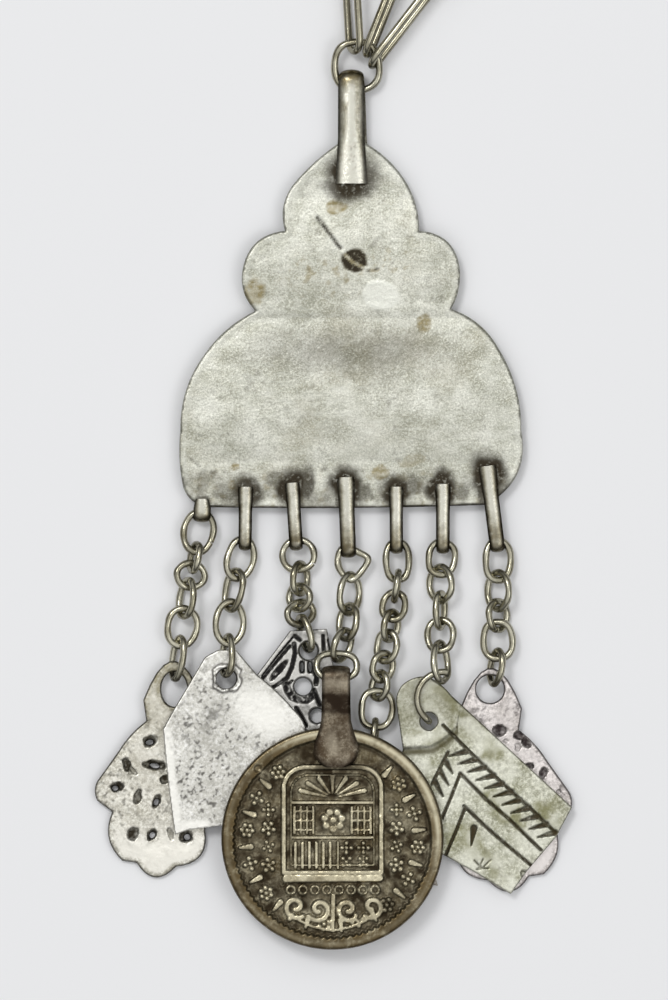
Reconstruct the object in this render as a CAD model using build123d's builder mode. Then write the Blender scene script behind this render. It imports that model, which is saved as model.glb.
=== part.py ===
from build123d import *
import os
from math import asin, atan2, cos, degrees, pi, radians, sin, sqrt

os.makedirs("parts", exist_ok=True)

# A coin necklace laid flat, back side up. +Y runs up the chest, +Z away from the surface that it lies on.
# While it is drawn, the origin is on that surface below the middle of the plate's bottom edge.
# Millimetres, and angles in degrees.

# Clearances
link_gap = 0.24
drop_gap = 0.3
floor_gap = 0.02
layer_gap = 0.1

# Plate, its top bail and the loops along its bottom edge
plate_width = 42.6
plate_height = 45.25
plate_thickness = 1.3
bail_thickness = 0.8
bail_width = 3.4
bail_foot_width = 3.9
bail_top = 54.6
bail_foot = 40.3
bail_x = 0.1
bail_fold_width = 2.5
bail_skew = 0.45
loop_thickness = 0.5
loop_width = 1.35
loop_end_width = 1.65
loop_fold_width = 1.15
dome_rise = 0.45
dome_start = 5.6
dome_end = 23.5
crown_rise = 0.3
crown_end = 38.5

# Pendant ring
ring_x = 0.8
ring_y = 55.0
ring_diameter = 7.0
ring_wire = 0.9
ring_lift = 0.92
ring_sink = 0.09

# Neck chain
neck_wire = 0.9
neck_link_length = 15.0
neck_link_width = 4.0
neck_ring_reach = 1.85
middle_link_width = 4.33
middle_link_rise = 0.3
middle_link_slack = 0.8
pair_step = 1.16

# Drop chains
drop_wire = 0.72
drop_link_width = 4.3
drop_height = 1.62
hook_wire = 0.85
hook_turn = 0.7
hook_foot = 0.6
hook_clearance = 0.3
rod_wire = 0.6
rod_roll = 86

# Charms
khamsa_thickness = 0.9
khamsa_left_length = 27.1
khamsa_right_length = 28.0
khamsa_mark_depth = 0.35
kite_length = 23.1
kite_thickness = 0.7
kite_height = 2.05
ornate_size = 14.0
ornate_thickness = 1.1
ornate_relief = 0.35
hidden_length = 17.9
hidden_thickness = 0.75
chevron_length = 29.4
chevron_thickness = 0.65
fold_thickness = 0.25
engraving_depth = 0.2
engraving_width = 0.4

# Coin and its bail
coin_diameter = 27.75
coin_thickness = 1.6
coin_rim = 1.5
coin_sink = 0.3
coin_relief = 0.22
coin_bail_thickness = 0.6
coin_bail_width = 3.6
coin_bail_foot_width = 5.6
coin_bail_fold_width = 3.5
coin_bail_waist = 6.2
panel_width = 12.2
panel_height = 13.2
panel_corner = 2.2
panel_line = 0.45
panel_y = 2.0
base_bar_y = -5.4
base_bar_width = 0.7
scroll_y = -7.9
scroll_step = 2.2
scroll_count = 5
scroll_radius = 0.95
stud_ring_radius = 11.4
stud_count = 20
stud_length = 0.9
stud_width = 0.6
column_x = 7.9

# Places of the charms' holes, x and y, and the radius of each hole
khamsa_left_hole = (-22.05, -22.9)
khamsa_left_bore = (1.62, 2.2)
kite_hole = (-15.55, -21.6)
kite_bore = 1.25
ornate_hole = (-5.25, -18.1)
ornate_bore = 1.12
coin_centre = (-2.25, -41.5)
coin_bail_top = -19.9
coin_bail_foot = -32.6
coin_bail_x = -1.8
chevron_hole = (9.8, -26.9)
chevron_bore = 1.1
khamsa_right_tab = (17.45, -23.9)
khamsa_right_bore = 1.75
khamsa_right_rise = 1.0
hidden_hole = (2.8, -31.4)
hidden_bore = 0.85

# Heights of the hanging charms' undersides, at the hole and at the far end
tab_height = 0.95
tip_height = 0.03
chevron_tab_height = 1.98
chevron_tip_height = 1.25
hidden_tab_height = 0.8

# Heights that follow
plate_bottom = bail_thickness
plate_top = plate_bottom + plate_thickness
slot_height = plate_bottom + plate_thickness / 2
coin_bottom = kite_height + kite_thickness + layer_gap
coin_top = coin_bottom + coin_thickness
coin_slot_height = coin_bottom + coin_thickness / 2
hook_height = chevron_tab_height + chevron_thickness + fold_thickness + hook_wire / 2 + hook_clearance

# Outlines. Each row is a corner and the bulge of the edge that leaves it, as shares of the piece's sizes.
# Columns: across, up, bulge.
plate_outline = [
    (-0.424, -0.003, 0.006),
    (0.397, 0.003, 0.045),
    (0.501, 0.210, 0.018),
    (0.435, 0.434, 0.018),
    (0.295, 0.544, 0.009),
    (0.321, 0.652, 0.035),
    (0.201, 0.760, 0.010),
    (0.166, 0.890, 0.010),
    (0.054, 0.997, 0.018),
    (-0.043, 0.997, 0.006),
    (-0.172, 0.884, 0.016),
    (-0.192, 0.760, 0.032),
    (-0.317, 0.652, 0.016),
    (-0.279, 0.539, 0.012),
    (-0.424, 0.425, 0.021),
    (-0.499, 0.210, 0.007),
    (-0.491, 0.052, 0.013),
]
khamsa_outline = [
    (-0.143, -0.051, 0.0),
    (-0.129, -0.147, 0.009),
    (-0.253, -0.281, 0.0),
    (-0.355, -0.424, 0.012),
    (-0.355, -0.516, 0.0),
    (-0.286, -0.567, 0.041),
    (-0.240, -0.793, 0.0),
    (-0.175, -0.802, 0.060),
    (0.009, -0.820, 0.058),
    (0.143, -0.650, 0.0),
    (0.152, -0.576, 0.0),
    (0.258, -0.521, 0.014),
    (0.272, -0.415, 0.0),
    (0.184, -0.276, 0.009),
    (0.120, -0.152, 0.0),
    (0.134, -0.051, 0.182),
]
kite_outline = [
    (-0.114, 0.119, 0.0),
    (-0.297, -0.189, 0.0),
    (-0.341, -0.270, 0.005),
    (-0.276, -0.843, 0.0),
    (-0.200, -0.816, 0.0),
    (-0.027, -0.795, 0.0),
    (0.395, -0.773, 0.0),
    (0.443, -0.357, 0.0),
    (0.432, -0.265, 0.008),
    (0.368, -0.168, 0.008),
    (0.168, 0.022, 0.0),
    (0.054, 0.157, 0.0),
    (-0.043, 0.157, 0.0),
]
ornate_outline = [
    (-0.165, 0.179, 0.0),
    (-0.781, -0.643, 0.0),
    (0.344, -0.812, 0.0),
    (0.165, 0.196, 0.0),
]
chevron_outline = [
    (-0.140, 0.085, 0.0),
    (-0.111, -0.119, 0.0),
    (-0.196, -0.421, 0.0),
    (0.072, -0.574, 0.0),
    (0.209, -0.651, 0.0),
    (0.349, -0.736, 0.0),
    (0.417, -0.638, 0.0),
    (0.540, -0.494, 0.0),
    (0.609, -0.366, 0.0),
    (0.094, 0.111, 0.004),
    (0.026, 0.174, 0.004),
    (-0.026, 0.191, 0.009),
    (-0.115, 0.153, 0.006),
]
fold_outline = [
    (-0.140, 0.085, 0.0),
    (-0.111, -0.119, 0.0),
    (0.047, -0.085, 0.0),
    (0.111, -0.072, 0.0),
    (0.140, -0.013, 0.0),
    (0.081, 0.123, 0.004),
    (0.026, 0.174, 0.004),
    (-0.026, 0.191, 0.009),
    (-0.115, 0.153, 0.006),
]
hidden_outline = [
    (-0.09, 0.04, 0.0),
    (-0.07, -0.30, 0.0),
    (0.17, -0.86, 0.0),
    (0.455, -0.90, 0.0),
    (0.27, -0.30, 0.0),
    (0.09, 0.04, 0.05),
]

# Small marks, as shares of the piece's length. Columns: across, up, length, width, turn.
khamsa_holes = [
    (-0.111, -0.240, 0.060, 0.036, 20),
    (-0.092, -0.350, 0.082, 0.030, 0),
    (-0.272, -0.456, 0.048, 0.036, 0),
    (-0.083, -0.521, 0.050, 0.030, 70),
    (-0.106, -0.673, 0.046, 0.030, 60),
    (0.060, -0.682, 0.046, 0.034, 20),
]
khamsa_pits = [
    (-0.207, -0.364, 0.075, 0.028, -55),
    (-0.166, -0.498, 0.075, 0.032, 75),
    (-0.194, -0.668, 0.055, 0.045, 0),
]
khamsa_right_pits = [
    (0.052, -0.181, 0.062, 0.050, 0),
    (0.147, -0.211, 0.085, 0.045, -50),
    (0.168, -0.328, 0.034, 0.028, 0),
    (0.228, -0.362, 0.046, 0.030, 40),
]
# Engraved lines of the chevron plaque, as shares of its length. Columns: x and y of both ends.
chevron_lines = [
    (0.064, -0.017, 0.545, -0.481),
    (0.136, -0.226, 0.481, -0.553),
    (0.153, -0.362, 0.434, -0.617),
    (0.081, -0.128, 0.017, -0.264),
    (0.136, -0.226, 0.055, -0.404),
    (0.153, -0.370, 0.072, -0.566),
]

# The seven loops along the bottom edge. Columns: x and y of the leg's end, x and y of the fold.
loops = [
    (-18.55, 0.9, -18.55, -2.05),
    (-13.1, 2.4, -13.2, -5.6),
    (-7.3, 2.9, -6.75, -5.6),
    (-0.6, 3.6, -0.25, -6.5),
    (5.7, 2.4, 5.75, -6.0),
    (11.55, 2.75, 11.55, -6.0),
    (17.1, 5.0, 18.45, -5.8),
]

# How many links at the end of each drop chain climb to its charm
climb_counts = [1, 2, 1, 3, 1, 2, 1]

# Routes of the chains, a few chosen points each. A drop chain's row is a joint between two links, and the
# width, as a share of drop_link_width, and the roll about its own length of the link that leaves it.
drop_routes = [
    [
        (-18.75, -1.23, 1.1, 4),
        (-19.25, -5.3, 0.95, 84),
        (-19.7, -7.6, 1.0, -12),
        (-20.25, -9.75, 0.95, 58),
        (-20.8, -13.3, 1.1, -4),
        (-21.3, -17.0, 0.8, 72),
        (-21.9, -21.1, 0, 0),
    ],
    [
        (-13.3, -4.6, 1.0, -6),
        (-14.25, -8.6, 0.95, 50),
        (-14.95, -12.45, 1.0, -8),
        (-15.3, -16.75, 0.85, 64),
        (-15.5, -20.6, 0, 0),
    ],
    [
        (-6.75, -4.6, 1.1, 8),
        (-6.3, -7.7, 0.95, -56),
        (-6.3, -10.4, 0.95, 40),
        (-6.5, -12.45, 1.05, -30),
        (-6.05, -14.35, 0.85, 66),
        (-5.25, -17.5, 0, 0),
    ],
    [
        (-0.2, -5.5, 1.0, 6),
        (-0.05, -9.05, 1.0, -45),
        (-0.2, -12.9, 0.95, 50),
        (-0.45, -16.1, 0.95, -50),
        (-1.65, -18.7, 1.34, 0),
        (-1.8, -21.25, 0, 0),
    ],
    [
        (5.8, -5.0, 0.9, -6),
        (5.95, -8.75, 0.9, 80),
        (5.6, -11.3, 0.85, 10),
        (5.25, -13.7, 0.85, -50),
        (4.8, -16.25, 0.85, 28),
        (4.25, -18.9, 0.85, -30),
        (3.8, -21.3, 0.8, 44),
        (3.45, -23.6, 1.16, -6),
        (3.1, -27.2, 0, 0),
    ],
    [
        (11.5, -5.0, 1.0, -10),
        (11.3, -8.1, 1.05, 42),
        (11.25, -11.4, 0.85, -80),
        (11.2, -14.7, 1.0, 8),
        (11.25, -17.6, 0.95, -56),
        (11.3, -21.35, 0, 0),
    ],
    [
        (18.4, -4.8, 0.95, -6),
        (18.5, -8.8, 1.0, 42),
        (18.45, -12.4, 0.95, -44),
        (18.4, -15.0, 1.1, 6),
        (18.45, -18.6, 0.85, 60),
        (17.95, -21.75, 0, 0),
    ],
]
rod_route = [(3.1, -27.2), (2.85, -30.9)]
hook_points = [(12.1, -20.75), (8.3, -24.0), (9.3, -26.4)]
neck_outer_route = [
    (-6.0, 92.0),
    (-24.0, 130.0),
    (-45.0, 175.0),
    (-57.0, 220.0),
    (-54.0, 268.0),
    (-28.0, 306.0),
    (12.0, 320.0),
    (52.0, 308.0),
    (82.0, 272.0),
    (90.0, 222.0),
    (78.0, 174.0),
    (54.0, 128.0),
    (29.0, 93.0),
]
neck_inner_route = [
    (-1.0, 104.0),
    (-20.0, 144.0),
    (-37.0, 186.0),
    (-45.0, 226.0),
    (-39.0, 268.0),
    (-17.0, 297.0),
    (14.0, 306.0),
    (46.0, 297.0),
    (70.0, 268.0),
    (78.0, 226.0),
    (68.0, 184.0),
    (47.0, 142.0),
    (24.0, 102.0),
]
# Points that the first and last link of each strand, and the link in the middle, are aimed at
neck_outer_aims = [(0.8, 66.0), (10.0, 64.5)]
neck_inner_aims = [(6.2, 80.0), (12.0, 79.0)]
middle_aim = (4.75, 63.25)
# Where the three end links sit on the ring, counted round it, and how far each is rolled
outer_start_place = 99
outer_start_roll = -64
outer_start_height = 2.24
middle_place = 49
middle_roll = 79
outer_end_place = 2
outer_end_roll = -78
outer_end_height = 2.03
pair_roll = 0
# The rolls that the other links of each strand take by turns
outer_rolls = (-45, 45)
inner_rolls = (-30, 60)


def draw_outline(rows, width, height):
    """Draws a closed outline of lines and arcs inside the current BuildLine."""
    for row, following in zip(rows, rows[1:] + rows[:1]):
        start = (row[0] * width, row[1] * height)
        end = (following[0] * width, following[1] * height)
        if row[2]:
            SagittaArc(start, end, -row[2] * width)
        else:
            Line(start, end)


def lying_plane(hole, reach, hole_height, tip_height):
    """The plane of a flat charm: its hole at one height and its far end, reach away, at another."""
    length = sqrt(reach[0] ** 2 + reach[1] ** 2)
    slope = (hole_height - tip_height) / length
    rise_x = -slope * reach[0] / length
    rise_y = -slope * reach[1] / length
    return Plane(origin=(*hole, hole_height), x_dir=(1, 0, rise_x), z_dir=(-rise_x, -rise_y, 1))


def half_height(width, wire, roll):
    """How far a rolled link reaches above its own middle."""
    return (width - wire) / 2 * abs(sin(radians(roll))) + wire / 2


def link_plane(start, end, roll):
    """The plane of a link from start to end, rolled about its own length."""
    along = (Vector(end) - Vector(start)).normalized()
    level = Vector(-along.Y, along.X, 0).normalized()
    upward = along.cross(level)
    normal = upward * cos(radians(roll)) - level * sin(radians(roll))
    return Plane(origin=(Vector(start) + Vector(end)) / 2, x_dir=along, z_dir=normal)


def wire_link(start, end, width, wire, roll, gap=link_gap):
    """An oval wire link whose end wires hook past the joints start and end."""
    lift = max(0, half_height(width, wire, roll) + floor_gap - min(start[2], end[2]))
    raised = Location((0, 0, lift))
    plane = link_plane(start, end, roll)
    length = (Vector(end) - Vector(start)).length + 2 * wire + gap
    radius = (min(length, width) - wire) / 2
    side = abs(length - width) / 2
    lengthwise = length > width
    with BuildPart() as link:
        with BuildLine(plane) as path:
            if lengthwise:
                Line((-side, radius), (side, radius))
                ThreePointArc((side, radius), (side + radius, 0), (side, -radius))
                Line((side, -radius), (-side, -radius))
                ThreePointArc((-side, -radius), (-side - radius, 0), (-side, radius))
            else:
                Line((radius, -side), (radius, side))
                ThreePointArc((radius, side), (0, side + radius), (-radius, side))
                Line((-radius, side), (-radius, -side))
                ThreePointArc((-radius, -side), (0, -side - radius), (radius, -side))
        with BuildSketch(Plane(origin=path.line @ 0, z_dir=path.line % 0)):
            Circle(wire / 2)
        sweep()
    return raised * link.part


def strap_plane(leg_end, fold, height):
    """The upright plane through a folded strap, its x axis running from the legs to the fold."""
    along = (Vector(*fold) - Vector(*leg_end)).normalized()
    return Plane(origin=(*leg_end, height), x_dir=(along.X, along.Y, 0), z_dir=(along.Y, -along.X, 0))


def folded_strap(leg_end, fold, slot, height, thickness, widths, waist):
    """A strap folded over: two legs with a slot between them. Its widths are at foot, waist and fold."""
    foot_width, width, fold_width = widths
    length = (Vector(*fold) - Vector(*leg_end)).length
    inner = slot / 2
    outer = inner + thickness
    bend = length - outer
    upright = strap_plane(leg_end, fold, height)
    level = Plane(origin=upright.origin, x_dir=upright.x_dir, z_dir=(0, 0, 1))
    with BuildPart() as strap:
        with BuildSketch(upright):
            with BuildLine():
                Line((0, inner), (bend, inner))
                ThreePointArc((bend, inner), (bend + inner, 0), (bend, -inner))
                Line((bend, -inner), (0, -inner))
                Line((0, -inner), (0, -outer))
                Line((0, -outer), (bend, -outer))
                ThreePointArc((bend, -outer), (bend + outer, 0), (bend, outer))
                Line((bend, outer), (0, outer))
                Line((0, outer), (0, inner))
            make_face()
        extrude(amount=foot_width, both=True)
        with BuildSketch(level):
            with BuildLine():
                Polyline(
                    (0, foot_width / 2),
                    (waist, width / 2),
                    (bend - inner, width / 2),
                    (length, fold_width / 2),
                    (length, -fold_width / 2),
                    (bend - inner, -width / 2),
                    (waist, -width / 2),
                    (0, -foot_width / 2),
                    close=True,
                )
            make_face()
        extrude(amount=outer, both=True, mode=Mode.INTERSECT)
    return strap.part


def marks(rows, length):
    """Slots inside the current BuildSketch, at shares of a charm's length."""
    for across, up, slot_length, slot_width, turn in rows:
        with Locations((across * length, up * length)):
            SlotOverall(slot_length * length, slot_width * length, rotation=turn)


def mirrored(rows):
    """The same outline turned over, left to right, with its corners still counted the same way."""
    before = rows[-1:] + rows[:-1]
    return [(-row[0], row[1], previous[2]) for row, previous in zip(rows[::-1], before[::-1])]


# Plate: a domed sheet, the top bail and the seven loops, soldered together
with BuildPart() as plate:
    with BuildSketch(Plane.YZ):
        with BuildLine():
            levels = (plate_bottom, plate_top)
            ends = (-plate_height * 0.1, plate_height * 1.1)
            dome_middle = (dome_start + dome_end) / 2
            crown_middle = (dome_end + crown_end) / 2
            for level in levels:
                Line((ends[0], level), (dome_start, level))
                ThreePointArc((dome_start, level), (dome_middle, level + dome_rise), (dome_end, level))
                ThreePointArc((dome_end, level), (crown_middle, level + crown_rise), (crown_end, level))
                Line((crown_end, level), (ends[1], level))
            Line((ends[0], plate_bottom), (ends[0], plate_top))
            Line((ends[1], plate_bottom), (ends[1], plate_top))
        make_face()
    extrude(amount=plate_width, both=True)
    with BuildSketch(Plane.XY):
        with BuildLine():
            draw_outline(plate_outline, plate_width, plate_height)
        make_face()
    extrude(amount=plate_top + dome_rise, mode=Mode.INTERSECT)
    for leg_x, leg_y, fold_x, fold_y in loops:
        loop_length = leg_y - fold_y
        add(
            folded_strap(
                (leg_x, leg_y),
                (fold_x, fold_y),
                plate_thickness,
                slot_height,
                loop_thickness,
                (loop_end_width, loop_width, loop_fold_width),
                loop_length * 0.5,
            )
        )
    add(
        folded_strap(
            (bail_x, bail_foot),
            (bail_x, bail_top),
            plate_thickness,
            slot_height,
            bail_thickness,
            (bail_foot_width, bail_width, bail_fold_width),
            (bail_top - bail_foot) * 0.45,
        )
    )
    # The back leg of the bail stands a little to the right of the front one
    with BuildSketch(Plane.XY):
        with Locations((bail_x + bail_skew, (bail_foot + bail_top - plate_thickness) / 2)):
            Rectangle(bail_width, bail_top - bail_foot - plate_thickness - 2 * bail_thickness)
    extrude(amount=bail_thickness)

# Pendant ring: a plain wire ring through the bail, a little raised where the neck chain holds it
ring_radius = (ring_diameter - ring_wire) / 2
ring_tilt = degrees(asin(ring_lift / (2 * ring_radius)))
ring_lean = radians(ring_tilt)
ring_height = slot_height + ring_lift / 2 - ring_sink
ring_plane = Plane(origin=(ring_x, ring_y, ring_height), z_dir=(0, -sin(ring_lean), cos(ring_lean)))
with BuildPart(ring_plane) as pendant_ring:
    Torus(ring_radius, ring_wire / 2)


def ring_anchor(place, aim):
    """The joint on the ring of a neck link that is aimed at a point, for a place counted round the ring."""
    inside = Vector(ring_x, ring_y) + neck_ring_reach * Vector(cos(radians(place)), sin(radians(place)))
    heading = (Vector(*aim) - inside).normalized()
    return inside + heading * (neck_wire + link_gap) / 2


def neck_strand(first, route, last, aims, rolls, end_rolls, end_heights):
    """An odd number of equal links along a smooth route between two joints."""
    pull = (Vector(*route[0]) - first).length
    headings = ((Vector(*aims[0]) - first).normalized() * pull, (last - Vector(*aims[1])).normalized() * pull)
    curve = Spline(first, *route, last, tangents=headings)
    pitch = neck_link_length - 2 * neck_wire - link_gap
    count = 2 * round((curve.length / pitch - 1) / 2) + 1
    joints = [curve @ (index / count) for index in range(count + 1)]
    level = half_height(neck_link_width, neck_wire, max(rolls)) + floor_gap
    heights = [end_heights[0]] * 2 + [level] * (count - 3) + [end_heights[1]] * 2
    turns = [end_rolls[0]] + [rolls[index % 2] for index in range(1, count - 1)] + [end_rolls[1]]
    links = []
    for index in range(count):
        start = (joints[index].X, joints[index].Y, heights[index])
        end = (joints[index + 1].X, joints[index + 1].Y, heights[index + 1])
        links.append(wire_link(start, end, neck_link_width, neck_wire, turns[index]))
    return links


def drop_chain(route, last_height, climb_count):
    """A short chain of oval links from its loop on the plate, climbing to its charm over the last links."""
    links = []
    level_count = len(route) - 1 - climb_count
    heights = [slot_height] + [drop_height] * level_count
    climb = last_height - drop_height
    heights += [drop_height + climb * step / climb_count for step in range(1, climb_count + 1)]
    for index in range(len(route) - 1):
        x, y, share, roll = route[index]
        start = (x, y, heights[index])
        end = (*route[index + 1][:2], heights[index + 1])
        links.append(wire_link(start, end, share * drop_link_width, drop_wire, roll, drop_gap))
    return links


# Neck chain: the outer strand is a whole loop from the ring round to the ring
outer_first = ring_anchor(outer_start_place, neck_outer_aims[0])
outer_last = ring_anchor(outer_end_place, neck_outer_aims[1])
with BuildPart() as neck_chain_outer:
    add(
        neck_strand(
            outer_first,
            neck_outer_route,
            outer_last,
            neck_outer_aims,
            outer_rolls,
            (outer_start_roll, outer_end_roll),
            (outer_start_height, outer_end_height),
        )
    )

# The inner strand is a whole loop too, whose ends share one middle link on the ring
middle_start = ring_anchor(middle_place, middle_aim)
middle_heading = (Vector(*middle_aim) - middle_start).normalized()
middle_end = middle_start + middle_heading * (neck_link_length - 2 * neck_wire - link_gap)
middle_height = half_height(middle_link_width, neck_wire, middle_roll) + middle_link_rise
pair_joint = middle_end - middle_heading * middle_link_slack
with BuildPart() as neck_chain_inner:
    add(
        wire_link(
            (middle_start.X, middle_start.Y, middle_height),
            (middle_end.X, middle_end.Y, middle_height),
            middle_link_width,
            neck_wire,
            middle_roll,
        )
    )
    add(
        neck_strand(
            pair_joint,
            neck_inner_route,
            pair_joint,
            neck_inner_aims,
            inner_rolls,
            (pair_roll, pair_roll),
            (middle_height + pair_step / 2, middle_height - pair_step / 2),
        )
    )

# Drop chains, each ending at its charm's height
khamsa_middle = tab_height + khamsa_thickness / 2
chain_end_heights = [
    khamsa_middle,
    kite_height + kite_thickness / 2,
    tab_height + ornate_thickness / 2,
    coin_slot_height - coin_bail_thickness / 4,
    drop_height,
    hook_height - layer_gap / 2,
    khamsa_middle,
]
chains = []
for route, last_height, climb_count in zip(drop_routes, chain_end_heights, climb_counts):
    with BuildPart() as chain:
        add(drop_chain(route, last_height, climb_count))
    chains.append(chain)

# Chain 5 ends in a thin upright link down to the charm behind the coin
rod_width = coin_bottom - layer_gap - floor_gap
with BuildPart() as rod_link:
    rod_height = rod_width / 2 + floor_gap
    add(wire_link((*rod_route[0], rod_height), (*rod_route[1], rod_height), rod_width, rod_wire, rod_roll))
with chains[4]:
    add(rod_link.part)

# Chain 6 ends in an open hook through the chevron plaque
with BuildPart() as hook:
    with BuildLine() as hook_path:
        bend = ThreePointArc(*[(*point, hook_height) for point in hook_points])
        heading = bend % 1
        turn = (bend @ 1) + heading * hook_turn * sin(pi / 4) - Vector(0, 0, hook_turn * (1 - cos(pi / 4)))
        foot = (bend @ 1) + (heading - Vector(0, 0, 1)) * hook_turn
        ThreePointArc(bend @ 1, turn, foot)
        Line(foot, foot - Vector(0, 0, hook_foot))
    with BuildSketch(Plane(origin=hook_path.line @ 0, z_dir=hook_path.line % 0)):
        Circle(hook_wire / 2)
    sweep()
with chains[5]:
    add(hook.part)

# Left hand charm, pierced and marked
hand_reach = (-0.08 * khamsa_left_length, -0.87 * khamsa_left_length)
left_plane = lying_plane(khamsa_left_hole, hand_reach, tab_height, tip_height)
with BuildPart() as khamsa_left:
    with BuildSketch(left_plane):
        with BuildLine():
            draw_outline(khamsa_outline, khamsa_left_length, khamsa_left_length)
        make_face()
        Ellipse(*khamsa_left_bore, mode=Mode.SUBTRACT)
    extrude(amount=khamsa_thickness)
    with BuildSketch(left_plane):
        marks(khamsa_holes, khamsa_left_length)
    extrude(amount=khamsa_thickness, mode=Mode.SUBTRACT)
    with BuildSketch(left_plane.offset(khamsa_thickness)):
        marks(khamsa_pits, khamsa_left_length)
    extrude(amount=-khamsa_mark_depth, mode=Mode.SUBTRACT)

# Right hand charm, the same hand turned over
hand_reach = (0.08 * khamsa_right_length, -0.87 * khamsa_right_length)
right_plane = lying_plane(khamsa_right_tab, hand_reach, tab_height, tip_height)
with BuildPart() as khamsa_right:
    with BuildSketch(right_plane):
        with BuildLine():
            draw_outline(mirrored(khamsa_outline), khamsa_right_length, khamsa_right_length)
        make_face()
        with Locations((0, khamsa_right_rise)):
            Circle(khamsa_right_bore, mode=Mode.SUBTRACT)
    extrude(amount=khamsa_thickness)
    with BuildSketch(right_plane.offset(khamsa_thickness)):
        marks(khamsa_right_pits, khamsa_right_length)
    extrude(amount=-khamsa_mark_depth, mode=Mode.SUBTRACT)

# Kite plaque, a plain worn sheet with one punched hole
with BuildPart() as kite_plaque:
    with BuildSketch(Plane(origin=(*kite_hole, kite_height))):
        with BuildLine():
            draw_outline(kite_outline, kite_length, kite_length)
        make_face()
        Circle(kite_bore, mode=Mode.SUBTRACT)
    extrude(amount=kite_thickness)

# Ornate triangle, cast with three holes and two slots
ornate_holes = [(0.0, 0.0), (-0.049, -0.321), (0.076, -0.580)]
ornate_slots = [(-0.058, -0.143), (0.013, -0.143)]
ornate_reach = (-0.283 * ornate_size, -0.816 * ornate_size)
ornate_plane = lying_plane(ornate_hole, ornate_reach, tab_height, tip_height)
with BuildPart() as ornate_triangle:
    with BuildSketch(ornate_plane):
        with BuildLine():
            draw_outline(ornate_outline, ornate_size, ornate_size)
        make_face()
        with Locations(*[(across * ornate_size, up * ornate_size) for across, up in ornate_holes]):
            Circle(ornate_bore, mode=Mode.SUBTRACT)
        with Locations(*[(across * ornate_size, up * ornate_size) for across, up in ornate_slots]):
            SlotOverall(0.11 * ornate_size, 0.035 * ornate_size, rotation=90, mode=Mode.SUBTRACT)
    extrude(amount=ornate_thickness)
    # Sunk leaf panels either side of the middle
    with BuildSketch(ornate_plane.offset(ornate_thickness)):
        with Locations((-0.25 * ornate_size, -0.12 * ornate_size)):
            Ellipse(0.16 * ornate_size, 0.045 * ornate_size, rotation=50)
        with Locations((-0.42 * ornate_size, -0.42 * ornate_size)):
            Ellipse(0.14 * ornate_size, 0.06 * ornate_size, rotation=30)
    extrude(amount=-ornate_relief, mode=Mode.SUBTRACT)

# The charm behind the coin, plain because only its tip shows
hidden_reach = (0.455 * hidden_length, -0.9 * hidden_length)
hidden_plane = lying_plane(hidden_hole, hidden_reach, hidden_tab_height, tip_height)
with BuildPart() as hidden_charm:
    with BuildSketch(hidden_plane):
        with BuildLine():
            draw_outline(hidden_outline, hidden_length, hidden_length)
        make_face()
        Circle(hidden_bore, mode=Mode.SUBTRACT)
    extrude(amount=hidden_thickness)

# Chevron plaque with its folded top and engraved lines
chevron_reach = (0.349 * chevron_length, -0.736 * chevron_length)
chevron_plane = lying_plane(chevron_hole, chevron_reach, chevron_tab_height, chevron_tip_height)
with BuildPart() as chevron_plaque:
    with BuildSketch(chevron_plane):
        with BuildLine():
            draw_outline(chevron_outline, chevron_length, chevron_length)
        make_face()
    extrude(amount=chevron_thickness)
    with BuildSketch(chevron_plane.offset(chevron_thickness)):
        for start_x, start_y, end_x, end_y in chevron_lines:
            line_start = Vector(start_x, start_y) * chevron_length
            line_end = Vector(end_x, end_y) * chevron_length
            span = line_end - line_start
            with Locations((line_start + line_end) / 2):
                Rectangle(span.length, engraving_width, rotation=degrees(atan2(span.Y, span.X)))
    extrude(amount=-engraving_depth, mode=Mode.SUBTRACT)
    with BuildSketch(chevron_plane.offset(chevron_thickness)):
        with BuildLine():
            draw_outline(fold_outline, chevron_length, chevron_length)
        make_face()
    extrude(amount=fold_thickness)
    with BuildSketch(chevron_plane):
        Circle(chevron_bore)
    extrude(amount=chevron_thickness + fold_thickness, mode=Mode.SUBTRACT)

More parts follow.
